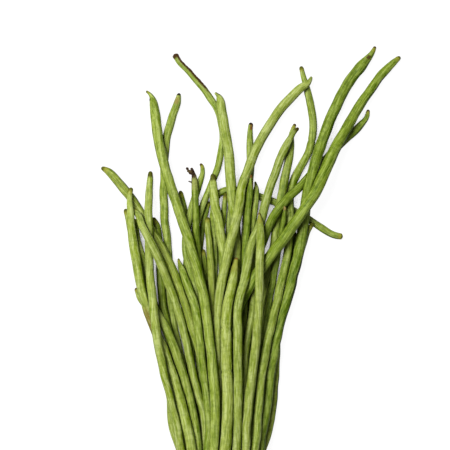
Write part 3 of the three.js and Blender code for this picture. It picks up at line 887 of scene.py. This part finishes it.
@dataclass(frozen=True)
class Look:
    """How one pod looks.

    tone is lighter above 0, warmth yellower above 0, hook bends the tip to the left in mm, and
    creases are the places pinched across, in mm from the tip. slimmer is the share by which the
    pod is thinner than its CAD tube towards the tip.
    """

    skin: Skin
    tone: float
    warmth: float
    tip: TipForm = TipForm.STUB
    hook: float = 0.0
    marks: tuple[Mark, ...] = ()
    creases: tuple[float, ...] = ()
    slimmer: float = 0.0


def dried_end(stain: Stain, dark: float, light: float = 0.0) -> tuple[Mark, ...]:
    """The usual marks of a tip: a dried end, and yellowing behind it.

    Args:
        stain: The colour of the end.
        dark: How far the dried end reaches.
        light: How far the yellowing reaches.

    Returns:
        The marks, the yellowing first.
    """
    yellowing = 0.65
    behind = (Mark(Stain.YELLOW, 0, light, yellowing),) if light else ()
    return (*behind, Mark(stain, 0, dark))


GREEN, PALE, DEEP = Skin.GREEN, Skin.PALE, Skin.DEEP
BEAK, LONG_BEAK, STUB, POINT, BLUNT = TipForm
BLACK, BROWN, RUST, PURPLE, TAN, YELLOW, OLIVE, STRAW = Stain

# In the order of the pods' numbers, from left to right by their tips.
LOOKS = (
    Look(GREEN, 0.1, 0.4, STUB, 0.5, dried_end(OLIVE, 4, 10)),
    Look(PALE, -0.2, 0.1, STUB, 0.4, dried_end(OLIVE, 4, 8)),
    Look(PALE, 0.2, 0.1, STUB, -0.4, (*dried_end(OLIVE, 6, 11), Mark(RUST, 118, 22, 0.5, 120))),
    Look(PALE, 0.0, 0.0, STUB, 0.0, dried_end(OLIVE, 3, 7)),
    Look(GREEN, -0.2, -0.1, STUB, 0.4, dried_end(OLIVE, 3, 7)),
    Look(PALE, -0.3, 0.0, STUB, 1.0, dried_end(BROWN, 2.5, 6)),
    Look(GREEN, 0.1, -0.2, BEAK, 1.5, (*dried_end(OLIVE, 2, 5), Mark(BLACK, 9, 1.8, 0.9, 160, 40))),
    Look(PALE, 0.1, 0.1, STUB, 0.2, (Mark(OLIVE, 0, 8, 0.9), Mark(BROWN, 2, 4, 0.7, 10, 60))),
    Look(DEEP, 0.3, 0.1, STUB, 0.6, dried_end(OLIVE, 4, 10)),
    Look(GREEN, 0.1, -0.4, BLUNT, 0.0, (*dried_end(BROWN, 6), Mark(BROWN, 20, 34, 0.95, 35, 60))),
    Look(GREEN, -0.2, -0.4, POINT, 0.0, dried_end(OLIVE, 3, 8)),
    Look(GREEN, 0.0, -0.2, STUB, 0.0, (*dried_end(BLACK, 3.5), Mark(TAN, 7, 5, 0.6, 110, 60))),
    Look(DEEP, 0.3, -0.4, STUB, 0.0, dried_end(OLIVE, 4, 9)),
    Look(DEEP, 0.0, 0.0, POINT, 0.0, (Mark(STRAW, 15, 12, 0.5), Mark(PURPLE, 3, 12, 0.9))),
    Look(GREEN, -0.1, -0.4, LONG_BEAK, 1.2, dried_end(BROWN, 2.6, 7)),
    Look(DEEP, -0.2, 0.0, STUB, 0.0, dried_end(OLIVE, 4, 8)),
    Look(GREEN, -0.1, 0.5, STUB, 0.0, dried_end(OLIVE, 3, 7)),
    Look(DEEP, -0.4, -0.5, STUB, 0.0, dried_end(OLIVE, 3, 7)),
    Look(PALE, 0.3, 0.1, STUB, 0.5, (Mark(OLIVE, 2, 7, 0.8), Mark(BROWN, 3, 5, 0.6, 10, 60))),
    Look(PALE, 0.0, 0.0, BEAK, 1.0, (Mark(OLIVE, 3, 7, 0.8, 20, 80), Mark(BROWN, 5, 6, 0.7, 0, 50))),
    Look(GREEN, -0.1, -0.3, STUB, 0.0, dried_end(OLIVE, 4, 8)),
    Look(GREEN, 0.0, -0.5, STUB, 0.0, dried_end(OLIVE, 3, 7)),
    Look(PALE, 0.1, 0.4, STUB, 0.0, (Mark(YELLOW, 5, 12, 0.5), Mark(RUST, 0, 2.6, 0.8)), (61, 97)),
    Look(DEEP, 0.1, -0.4, POINT, 0.0, (*dried_end(RUST, 4), Mark(BROWN, 5, 8, 0.8, 20, 60))),
    Look(GREEN, -0.1, -0.3, STUB, -0.4, (Mark(RUST, 4, 4, 0.8, 60, 60), Mark(BLACK, 0, 3, 0.9))),
    Look(GREEN, 0.0, 0.0, POINT, 0.3, dried_end(OLIVE, 8)),
    Look(PALE, -0.1, 0.2, POINT, 0.0, (Mark(YELLOW, 5, 9, 0.55), Mark(RUST, 0, 3.5, 0.8))),
    Look(DEEP, -0.1, -0.5, POINT, 0.0, dried_end(TAN, 5)),
    Look(DEEP, 0.0, -0.3, STUB, 0.0, dried_end(OLIVE, 4, 7)),
    Look(GREEN, -0.2, -0.2, LONG_BEAK, 0.8, dried_end(BROWN, 3, 8)),
    Look(PALE, -0.3, -0.1, LONG_BEAK, -1.0, (*dried_end(OLIVE, 8), Mark(BROWN, 1, 3, 0.8))),
    Look(GREEN, -0.1, -0.2, STUB, 0.0, dried_end(OLIVE, 4, 7), (65,)),
    Look(PALE, -0.1, 0.2, BEAK, -0.8, dried_end(BROWN, 2.2, 5)),
    Look(GREEN, 0.0, 0.3, STUB, 0.0, dried_end(OLIVE, 4, 9)),
    Look(GREEN, -0.1, -0.3, BLUNT, 0.0, dried_end(OLIVE, 2.4, 7)),
    Look(DEEP, 0.1, -0.4, LONG_BEAK, 1.2, dried_end(BROWN, 2.6, 7), slimmer=0.08),
    Look(DEEP, 0.1, -0.4, LONG_BEAK, 0.7, (*dried_end(BROWN, 3, 9), Mark(BROWN, 12, 3, 0.7, 95, 45))),
    Look(DEEP, 0.45, -0.2, STUB, 0.0, dried_end(OLIVE, 3, 8), slimmer=0.2),
)


@dataclass(frozen=True)
class Ring:
    """A swelling round the stalk in mm, or with a height below 0 a groove."""

    height: float
    from_end: float
    width: float


@dataclass(frozen=True)
class Grid:
    """Where the points of a pod's skin lie. Distances in mm are columns, angles are in radians.

    angle goes from the pod's right over its upper side, and around is the angle from its seam.
    """

    along: Array
    to_end: Array
    angle: Array
    around: Array


@dataclass
class Pod:
    """One finished pod, wrapped round the line of its CAD node. Sizes are in mm.

    A pair of distances is where something starts and where it is full.
    """

    number: int
    look: Look
    columns: int = 32
    row_step: float = 1.5
    tip_rows: int = 36
    stem_rows: int = 46
    tip_reach: float = 14.0
    stem_reach: float = 30.0
    hook_reach: float = 8.0
    slimmer_until: tuple[float, float] = (20.0, 110.0)
    beak_bare: float = 0.3
    beak_flare: float = 0.5
    shoulder_fullness: float = 0.8
    stalk_length: float = 9.0
    stalk_radius: float = 1.35
    stalk_ease: tuple[float, float] = (8.0, 18.0)
    rings: tuple[Ring, ...] = (Ring(0.75, 9.0, 1.5), Ring(-0.22, 11.6, 0.8), Ring(0.22, 0.0, 1.2))
    wobble: float = 0.2
    wobble_ease: tuple[float, float] = (6.0, 30.0)
    sway_aside: Wave = Wave(1.0, 18, 70)
    sway_up: Wave = Wave(0.6, 18, 70)
    tip_ease: tuple[float, float] = (4.0, 26.0)
    stem_ease: tuple[float, float] = (12.0, 40.0)
    flatness: float = 0.03
    seam_ridge: float = 0.12
    seam_width: float = 0.55
    seam_twist: Wave = Wave(0.5, 150, 500)
    seed_spacing: float = 11.5
    seed_swelling: float = 0.035
    seed_drift: Wave = Wave(0.35, 60, 200)
    seed_size: Wave = Wave(0.3, 30, 90)
    lumps: Wave = Wave(0.021, 12, 90)
    bulge: float = 0.012
    bulge_turn: Wave = Wave(3, 30, 90)
    crease_depth: float = 0.17
    crease_width: float = 0.9
    crease_tilt: float = 0.5
    flutes: int = 5
    flute_depth: float = 0.06
    flute_ease: float = 5.0
    folds: int = 6
    fold_depth: float = 0.1
    fold_turn: Wave = Wave(2, 5, 14)
    # The direction round the pod that is painted as lit, in degrees from its right over its upper side, and
    # its slow drift along the pod.
    painted_light_angle: float = 125.0
    painted_light_drift: Wave = Wave(0.35, 60, 260)

    @property
    def name(self) -> str:
        """The name of the CAD node."""
        return f"pod_{self.number:02d}"

    def stations(self, length: float) -> Array:
        """Distances from the tip of the rows of points, closest at both ends."""
        tip = np.linspace(0.04, 1, self.tip_rows, endpoint=False) ** 1.5 * self.tip_reach
        stem = length - np.linspace(0, 1, self.stem_rows) ** 1.3 * self.stem_reach
        middle = np.arange(self.tip_reach, length - self.stem_reach, self.row_step)
        return np.concatenate([tip, middle, stem[::-1]])

    def radii(self, line: PodLine, along: Array) -> Array:
        """The mean radius at each station.

        Args:
            line: The pod's line.
            along: The stations.

        Returns:
            The CAD radius in the body. Towards the tip it gives way to the beak, whose own end
            is round: the radius times the square root of 1 less (1 - s / r) squared. Towards
            the stem it gives way to the stalk, with a collar where the two meet.
        """
        tip = self.look.tip.value
        slimmer = self.look.slimmer * (1 - smoothstep(along, *self.slimmer_until))
        body = line.radius_at(along) * (1 - slimmer)
        rounding = np.sqrt(1 - (1 - np.clip(along / tip.radius, 0, 1)) ** 2)
        beak = tip.radius * (1 + self.beak_flare * np.clip(along / max(tip.beak, 1), 0, 1)) * rounding
        filled = smoothstep(along, self.beak_bare * tip.beak, tip.beak + tip.shoulder)
        radius = beak + np.maximum(body - beak, 0) * filled**self.shoulder_fullness
        to_end = line.length - along
        radius = radius + (self.stalk_radius - radius) * (1 - smoothstep(to_end, *self.stalk_ease))
        for ring in self.rings:
            radius += ring.height * hump(to_end, ring.from_end, ring.width)
        return radius

    def course(self, line: PodLine, along: Array, rng: Generator) -> Array:
        """The pod's line with its tip hooked aside, swaying a little except near both ends.

        Args:
            line: The pod's line.
            along: The stations.
            rng: The pod's source of random numbers.

        Returns:
            One point for each station. The hook's share is the square of what is left to the
            tip.
        """
        free = smoothstep(along, *self.wobble_ease) * smoothstep(line.length - along, *self.wobble_ease)
        aside, up = self.sway_aside.draw(along, rng), self.sway_up.draw(along, rng)
        sway = np.stack([aside, 0 * along, up], axis=1)
        ahead = line.at(np.array([self.hook_reach])) - line.at(np.array([0.0]))
        left = direction(-np.cross(UP, ahead[0]))
        bend = self.look.hook * np.clip(1 - along / self.hook_reach, 0, 1) ** 2
        return line.at(along) + bend[:, None] * left + self.wobble * free[:, None] * sway

    def swelling(self, grid: Grid, mean: Array, rng: Generator) -> Array:
        """What the mean radius is multiplied by.

        Args:
            grid: Where the points lie.
            mean: The mean radius, as a column.
            rng: The pod's source of random numbers.

        Returns:
            1 plus, with b for the angle from the first seam: the flattening, cos 2b; the ridges
            of the seams, bells about b = 0 and b = half a turn; the seeds, a row of soft humps
            that stand out between the seams; slow lumps and bulges; the creases; flutes, cos 5b,
            on the stalk; and folds on a dried end.
        """
        along = grid.along[:, 0]
        body = smoothstep(grid.along, *self.tip_ease) * smoothstep(grid.to_end, *self.stem_ease)
        share = 1 + self.flatness * np.cos(2 * grid.around) * body
        share += self.seam_ridge / mean * hump(np.sin(grid.around) * mean, 0, self.seam_width) * body
        phase = FULL_TURN * (along / self.seed_spacing + self.seed_drift.draw(along, rng))
        seeds = (0.5 + 0.5 * np.cos(phase)) ** 1.4 * (0.7 + self.seed_size.draw(along, rng))
        between_seams = 0.25 + 0.75 * np.sin(grid.around) ** 2
        share += self.seed_swelling * seeds[:, None] * between_seams * body
        share += self.lumps.draw(along, rng)[:, None]
        share += self.bulge * np.cos(grid.angle + self.bulge_turn.draw(along, rng)[:, None])
        for place in self.look.creases:
            tilt = self.crease_tilt * np.sin(grid.angle + place)
            share -= self.crease_depth * hump(grid.along + tilt, place, self.crease_width) * body
        stalk = 1 - smoothstep(grid.to_end, self.stalk_length, self.stalk_length + self.flute_ease)
        share += self.flute_depth * np.cos(self.flutes * grid.around) * stalk
        dried = self.cover(grid, (BROWN, BLACK, PURPLE, RUST)) * smoothstep(grid.along, 0.5, 2)
        folds = np.cos(self.folds * grid.around + self.fold_turn.draw(along, rng)[:, None])
        return share + self.fold_depth * folds * dried

    def surface(self, line: PodLine, box: Array) -> Sheet:
        """The pod's skin.

        A point lies at the line's own point plus the radius times (cos a, sin a), measured from
        the pod's right and from its upper side.

        Args:
            line: The pod's line.
            box: The lowest and the highest corner that the bunch may reach. A pod is pressed
                flat where it would pass them: on the table, and where its stalk is cut.

        Returns:
            The surface, with the values that the pod's finish reads.
        """
        rng = np.random.default_rng(self.number)
        along = self.stations(line.length)
        centre = self.course(line, along, rng)
        tangent = direction(np.gradient(centre, along, axis=0))
        right = direction(np.cross(UP, tangent))
        above = np.cross(tangent, right)
        angle = np.linspace(0, FULL_TURN, self.columns, endpoint=False)[None, :]
        seam = rng.uniform(0, FULL_TURN) + self.seam_twist.draw(along, rng)
        grid = Grid(along[:, None], (line.length - along)[:, None], angle, angle - seam[:, None])
        mean = self.radii(line, along)[:, None]
        radius = mean * self.swelling(grid, mean, rng)
        out = np.cos(angle)[..., None] * right[:, None] + np.sin(angle)[..., None] * above[:, None]
        points = np.clip(centre[:, None] + radius[..., None] * out, *box)
        poles = np.clip(np.stack([centre[0] - tangent[0] * along[0], centre[-1]]), *box)

        longest_pod = 650
        depth = np.broadcast_to(grid.along + self.number * longest_pod, radius.shape)
        straight = np.stack([radius * np.cos(grid.around), radius * np.sin(grid.around), depth], axis=-1)
        # Painted light and shade: each point's share of the lit colour, by how far it faces that direction,
        # up and to the left.
        painted_light_turn = math.radians(self.painted_light_angle) + self.painted_light_drift.draw(along, rng)[:, None]
        values = {
            "straight": straight,
            "painted_light_side": 0.5 + 0.5 * np.cos(angle - painted_light_turn),
            "character": np.broadcast_to([self.look.tone, self.look.warmth, 0.0], straight.shape),
            "tint": self.tints(grid, line.length),
        }
        return Sheet(points, poles, values)

    def cover(self, grid: Grid, stains: tuple[Stain, ...]) -> Array:
        """How strongly marks of some stains cover each point, the strongest one counting."""
        covers = [mark.cover(grid.along, grid.angle) for mark in self.look.marks if mark.stain in stains]
        return np.max([np.zeros(grid.around.shape), *covers], axis=0)

    def tints(self, grid: Grid, length: float) -> Array:
        """The stains laid over each other, as a colour and how strongly it covers.

        Args:
            grid: Where the points lie.
            length: The pod's length.

        Returns:
            Red, green, blue and strength for each point. Each mark is laid over what is there,
            as a painter would, and the last is the drying at the cut end of the stalk.
        """
        stalk = (Mark(OLIVE, length - 4, 9, 0.45), Mark(TAN, length, 1.6, 0.8))
        tint = np.zeros((*grid.around.shape, 4))
        for mark in (*self.look.marks, *stalk):
            cover = mark.cover(grid.along, grid.angle)[..., None]
            total = cover + tint[..., 3:] * (1 - cover)
            kept = tint[..., 3:] * (1 - cover) / np.maximum(total, 1e-6)
            tint[..., :3] = tint[..., :3] * kept + np.array(mark.stain.value[:3]) * (1 - kept)
            tint[..., 3:] = total
        return tint

    def build(self, node: Piece, box: Array, finish: Material) -> Piece:
        """Makes the piece, inside the box, and puts it in the place of its CAD node."""
        piece = self.surface(PodLine.of_node(node), box).build(f"{self.name}_skin")
        piece.data.materials.append(finish)
        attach(piece, ROOT_BODY)
        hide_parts(self.name)
        return piece


# ---- The withered flower ----


@dataclass(frozen=True)
class Petal:
    """One dried petal, in mm and degrees: how far behind the tip it starts, and where it leads."""

    start: float
    length: float
    width: float
    turn: float
    lift: float
    curl: float


@dataclass
class WitheredFlower:
    """The crumpled remains of the flower, still clinging to the end of one pod."""

    pod: str = "pod_14"
    petals: tuple[Petal, ...] = (
        Petal(start=10, length=12.5, width=3.6, turn=18, lift=8, curl=0.5),
        Petal(start=11, length=11.5, width=3.2, turn=6, lift=18, curl=-0.5),
        Petal(start=9, length=9.5, width=3.0, turn=24, lift=12, curl=0.7),
        Petal(start=14, length=5.5, width=1.6, turn=80, lift=8, curl=-0.8),
    )
    thickness: float = 1.0
    base_height: float = 2.0
    tip_height: float = 0.5
    droop: float = 0.8
    bend_waves: float = 0.8
    bluntness: float = 0.45
    rim_wave: float = 0.22
    rib: float = 0.35
    twist: float = 2.4
    twist_drift: Wave = Wave(1.1, 0.5, 1.4)
    paleness: float = 0.35
    seed: int = 900
    rows: int = 44
    columns: int = 16

    def course(self, line: PodLine, petal: Petal, share: Array) -> tuple[Array, ...]:
        """The curl that a petal follows.

        It leaves the pod's side at the angles of turn, to the left, and lift, upwards, bends
        aside by a sine and droops by the square of the share that is gone.

        Args:
            line: The line of the pod.
            petal: The petal.
            share: The shares of the petal's length.

        Returns:
            The points of the curl, the directions aside and over it, and the petal's two ends.
        """
        root, tip = line.at(np.array([petal.start, 0.0]))
        ahead = direction(tip - root)
        left = direction(np.cross(UP, ahead))
        turn, lift = math.radians(petal.turn), math.radians(petal.lift)
        level = math.cos(turn) * ahead + math.sin(turn) * left
        heading = math.cos(lift) * level + math.sin(lift) * UP
        aside = direction(np.cross(heading, UP))
        over = np.cross(aside, heading)
        bend = petal.curl * np.sin(self.bend_waves * FULL_TURN * share) * share
        droop = self.droop * petal.length * math.sin(lift) * share**2
        curl = root + (share * petal.length)[:, None] * heading
        curl += bend[:, None] * aside - droop[:, None] * UP
        curl[:, 2] += self.tip_height + (self.base_height - self.tip_height) * (1 - share)
        start = np.array([root[0], root[1], curl[0, 2]])
        return curl, aside, over, np.stack([start, 2 * curl[-1] - curl[-2]])

    def surface(self, line: PodLine, petal: Petal, number: int) -> Sheet:
        """A dried petal: a flattened tube along a curl, twisted and creased.

        The section is an ellipse of half the width by half the thickness, which turns as it
        goes, with a rim that waves in and out and ribs along it. Its size is a sine bell that
        narrows to both ends.

        Args:
            line: The line of the pod.
            petal: The petal.
            number: Its number, which sets its creases.

        Returns:
            The surface, with the values that the pods' finish reads.
        """
        rng = np.random.default_rng(self.seed + number)
        share = np.linspace(0.02, 0.98, self.rows)
        curl, aside, over, ends = self.course(line, petal, share)
        gone = share[:, None]
        angle = np.linspace(0, FULL_TURN, self.columns, endpoint=False)[None, :]
        twist = (self.twist_drift.draw(share, rng) + self.twist * share)[:, None]
        bell = np.sin(math.pi * gone) ** self.bluntness
        rim = 1 + self.rim_wave * np.sin(9 * math.pi * gone + number) * np.cos(angle) ** 2
        wide = 0.5 * petal.width * bell * rim * np.cos(angle)
        ribs = self.rib * np.cos(3 * angle + 5 * gone) * np.cos(angle) ** 2
        thick = bell * (0.5 * self.thickness * np.sin(angle) + ribs)
        across = wide * np.cos(twist) - thick * np.sin(twist)
        above = wide * np.sin(twist) + thick * np.cos(twist)
        points = curl[:, None] - across[..., None] * aside + above[..., None] * over
        dark, light = np.array(PURPLE.value), np.array(TAN.value)
        paler = self.paleness * (0.5 + 0.5 * np.cos(2 * angle + 7 * gone)) ** 3
        depth = np.broadcast_to(gone * petal.length, across.shape)
        values = {
            "straight": np.stack([across, above, depth], axis=-1),
            # Painted light and shade: the petals take an even share of the lit colour all round.
            "painted_light_side": np.full(across.shape, 0.6),
            "character": np.zeros(points.shape),
            "tint": dark + paler[..., None] * (light - dark),
        }
        return Sheet(points, ends, values)

    def build(self, node: Piece, finish: Material) -> list[Piece]:
        """Makes the petals, on the end of their CAD pod, in its finish, which stains turn dark."""
        line = PodLine.of_node(node)
        pieces = []
        for number, petal in enumerate(self.petals, start=1):
            piece = self.surface(line, petal, number).build(f"{self.pod}_petal_{number}")
            piece.data.materials.append(finish)
            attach(piece, ROOT_BODY)
            pieces.append(piece)
        return pieces


# ---- The rubber band ----


@dataclass
class RubberBand:
    """The band round the waist of the bunch: a flat ring with rounded edges. Sizes are in mm."""

    name: str = "rubber_band"
    cad_sides: int = 96
    width: float = 7.0
    thickness: float = 1.5
    edge: float = 0.5
    stretch_waves: float = 0.25
    around: int = 288

    def outline(self, corners: Array) -> tuple[Array, Array]:
        """The outer line of the CAD ring, seen along the bunch.

        For each direction, the corner that reaches furthest that way lies on the ring.

        Args:
            corners: The corners of the CAD ring.

        Returns:
            Points on the ring across and up, and the directions in which they face. Both are
            smoothed by a running mean over a few neighbours, which rounds the ring's corners.
        """
        turn = np.linspace(0, FULL_TURN, self.cad_sides, endpoint=False)
        facing = np.stack([np.cos(turn), np.sin(turn)], axis=1)
        seen = corners[:, [0, 2]]
        ring = seen[np.argmax(seen @ facing.T, axis=0)]
        closed = np.concatenate([ring, ring[:1]])
        gone = np.concatenate([[0], np.cumsum(np.linalg.norm(np.diff(closed, axis=0), axis=1))])
        even = np.linspace(0, gone[-1], self.around, endpoint=False)
        line = np.stack([np.interp(even, gone, closed[:, axis]) for axis in range(2)], axis=1)
        for _ in range(3):
            line = (np.roll(line, 1, axis=0) + line + np.roll(line, -1, axis=0)) / 3
        heading = np.roll(line, -1, axis=0) - np.roll(line, 1, axis=0)
        outward = np.stack([heading[:, 1], -heading[:, 0]], axis=1)
        return line, direction(outward)

    def section(self) -> Array:
        """The band's cross-section: a rectangle whose corners are quarter circles.

        Returns:
            Points round the section, as the distance inwards from the outer face and the
            distance along the bunch from the middle.
        """
        quarter = np.linspace(0, math.pi / 2, 5)
        half, deep = self.width / 2 - self.edge, self.thickness - self.edge
        corners = ((self.edge, half, 0), (deep, half, 1), (deep, -half, 2), (self.edge, -half, 3))
        arcs = []
        for inward, forward, number in corners:
            turned = math.pi - number * math.pi / 2 - quarter
            middle = np.array([inward, forward])
            arcs.append(middle + self.edge * np.stack([np.cos(turned), np.sin(turned)], axis=1))
        return np.concatenate(arcs)

    def build(self, node: Piece, finish: Material) -> Piece:
        """Makes the band: its section carried round the CAD ring's outline, swaying a little."""
        corners, _ = merged_mesh(node)
        middle = float(corners[:, 1].mean())
        line, outward = self.outline(corners)
        section = self.section()
        turn = np.linspace(0, FULL_TURN, self.around, endpoint=False)
        sway = self.stretch_waves * (np.sin(3 * turn + 0.4) + 0.6 * np.sin(7 * turn + 2))
        flat = line[:, None] - section[None, :, :1] * outward[:, None]
        forward = middle + sway[:, None] + section[None, :, 1]
        points = np.stack([flat[..., 0], forward, flat[..., 1]], axis=-1)
        piece = Sheet(points).build(f"{self.name}_finished")
        piece.data.materials.append(finish)
        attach(piece, ROOT_BODY)
        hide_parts(self.name)
        return piece


# ---- The studio ----


@dataclass
class Studio:
    """The table, the lights and the camera. Sizes are in metres, the sensor's in mm."""

    table_side: float = 6.0
    camera_height: float = 1.3
    pile_height: float = 0.006
    view_side: float = 0.3825
    view_above_tips: float = 0.039
    view_left_of_middle: float = 0.0223
    sensor: float = 36.0
    key_place: tuple[float, float, float] = (-0.62, 0.58, 1.48)
    key_side: float = 0.7
    key_power: float = 29.0
    room_light: float = 0.17

    def lay_table(self, effects: Effects) -> None:
        """A flat pale table under the bunch, well wider than any view."""
        half = self.table_side / 2
        mesh = bpy.data.meshes.new("table")
        corners = [(-half, -half, 0), (half, -half, 0), (half, half, 0), (-half, half, 0)]
        mesh.from_pydata(corners, [], [(0, 1, 2, 3)])
        table = bpy.data.objects.new("table", mesh)
        bpy.context.scene.collection.objects.link(table)
        table.data.materials.append(TableFinish().build(effects))
        table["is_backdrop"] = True

    def light(self) -> None:
        """A soft square key light from the upper left, in watts, and a pale room."""
        lamp = bpy.data.lights.new("key", "AREA")
        lamp.shape = "SQUARE"
        lamp.size = self.key_side
        lamp.energy = self.key_power
        hung = bpy.data.objects.new("key", lamp)
        hung.location = self.key_place
        hung.rotation_euler = (-Vector(self.key_place)).to_track_quat("-Z", "Y").to_euler()
        bpy.context.scene.collection.objects.link(hung)
        world = bpy.data.worlds.new("pale_room")
        world.use_nodes = True
        background = world.node_tree.nodes["Background"]
        background.inputs["Color"].default_value = (1.0, 1.0, 1.0, 1.0)
        background.inputs["Strength"].default_value = self.room_light
        bpy.context.scene.world = world
        bpy.context.scene.view_settings.view_transform = "Standard"

    def place_camera(self, low: Vector, high: Vector) -> None:
        """A camera straight above the fan of the bunch, whose waist runs out of the view.

        Args:
            low, high: The corners of the CAD model's box.
        """
        lens = bpy.data.cameras.new("camera")
        lens.sensor_width = self.sensor
        lens.lens = self.sensor * (self.camera_height - self.pile_height) / self.view_side
        camera = bpy.data.objects.new("camera", lens)
        across = (low.x + high.x) / 2 - self.view_left_of_middle
        along = high.y + self.view_above_tips - self.view_side / 2
        camera.location = (across, along, self.camera_height)
        bpy.context.scene.collection.objects.link(camera)
        bpy.context.scene.camera = camera


def main() -> None:
    """Builds the bunch, piece by piece, and the studio round it."""
    logging.basicConfig(level=logging.INFO, format="%(name)s: %(message)s")
    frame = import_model()
    low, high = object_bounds()
    box = np.array([low, high]) / MM
    effects = Effects()
    finishes = {finish.skin: finish.build(effects) for finish in POD_FINISHES}
    for number, look in enumerate(LOOKS, start=1):
        pod = Pod(number, look)
        piece = pod.build(frame["nodes"][pod.name], box, finishes[look.skin])
        LOG.info("%s has %d faces", piece.name, len(piece.data.polygons))
    flower = WitheredFlower()
    for piece in flower.build(frame["nodes"][flower.pod], finishes[Skin.DEEP]):
        LOG.info("%s has %d faces", piece.name, len(piece.data.polygons))
    band = RubberBand()
    piece = band.build(frame["nodes"][band.name], RubberFinish().build(effects))
    LOG.info("%s has %d faces", piece.name, len(piece.data.polygons))
    studio = Studio()
    studio.lay_table(effects)
    studio.light()
    studio.place_camera(low, high)


if __name__ == "__main__":
    main()
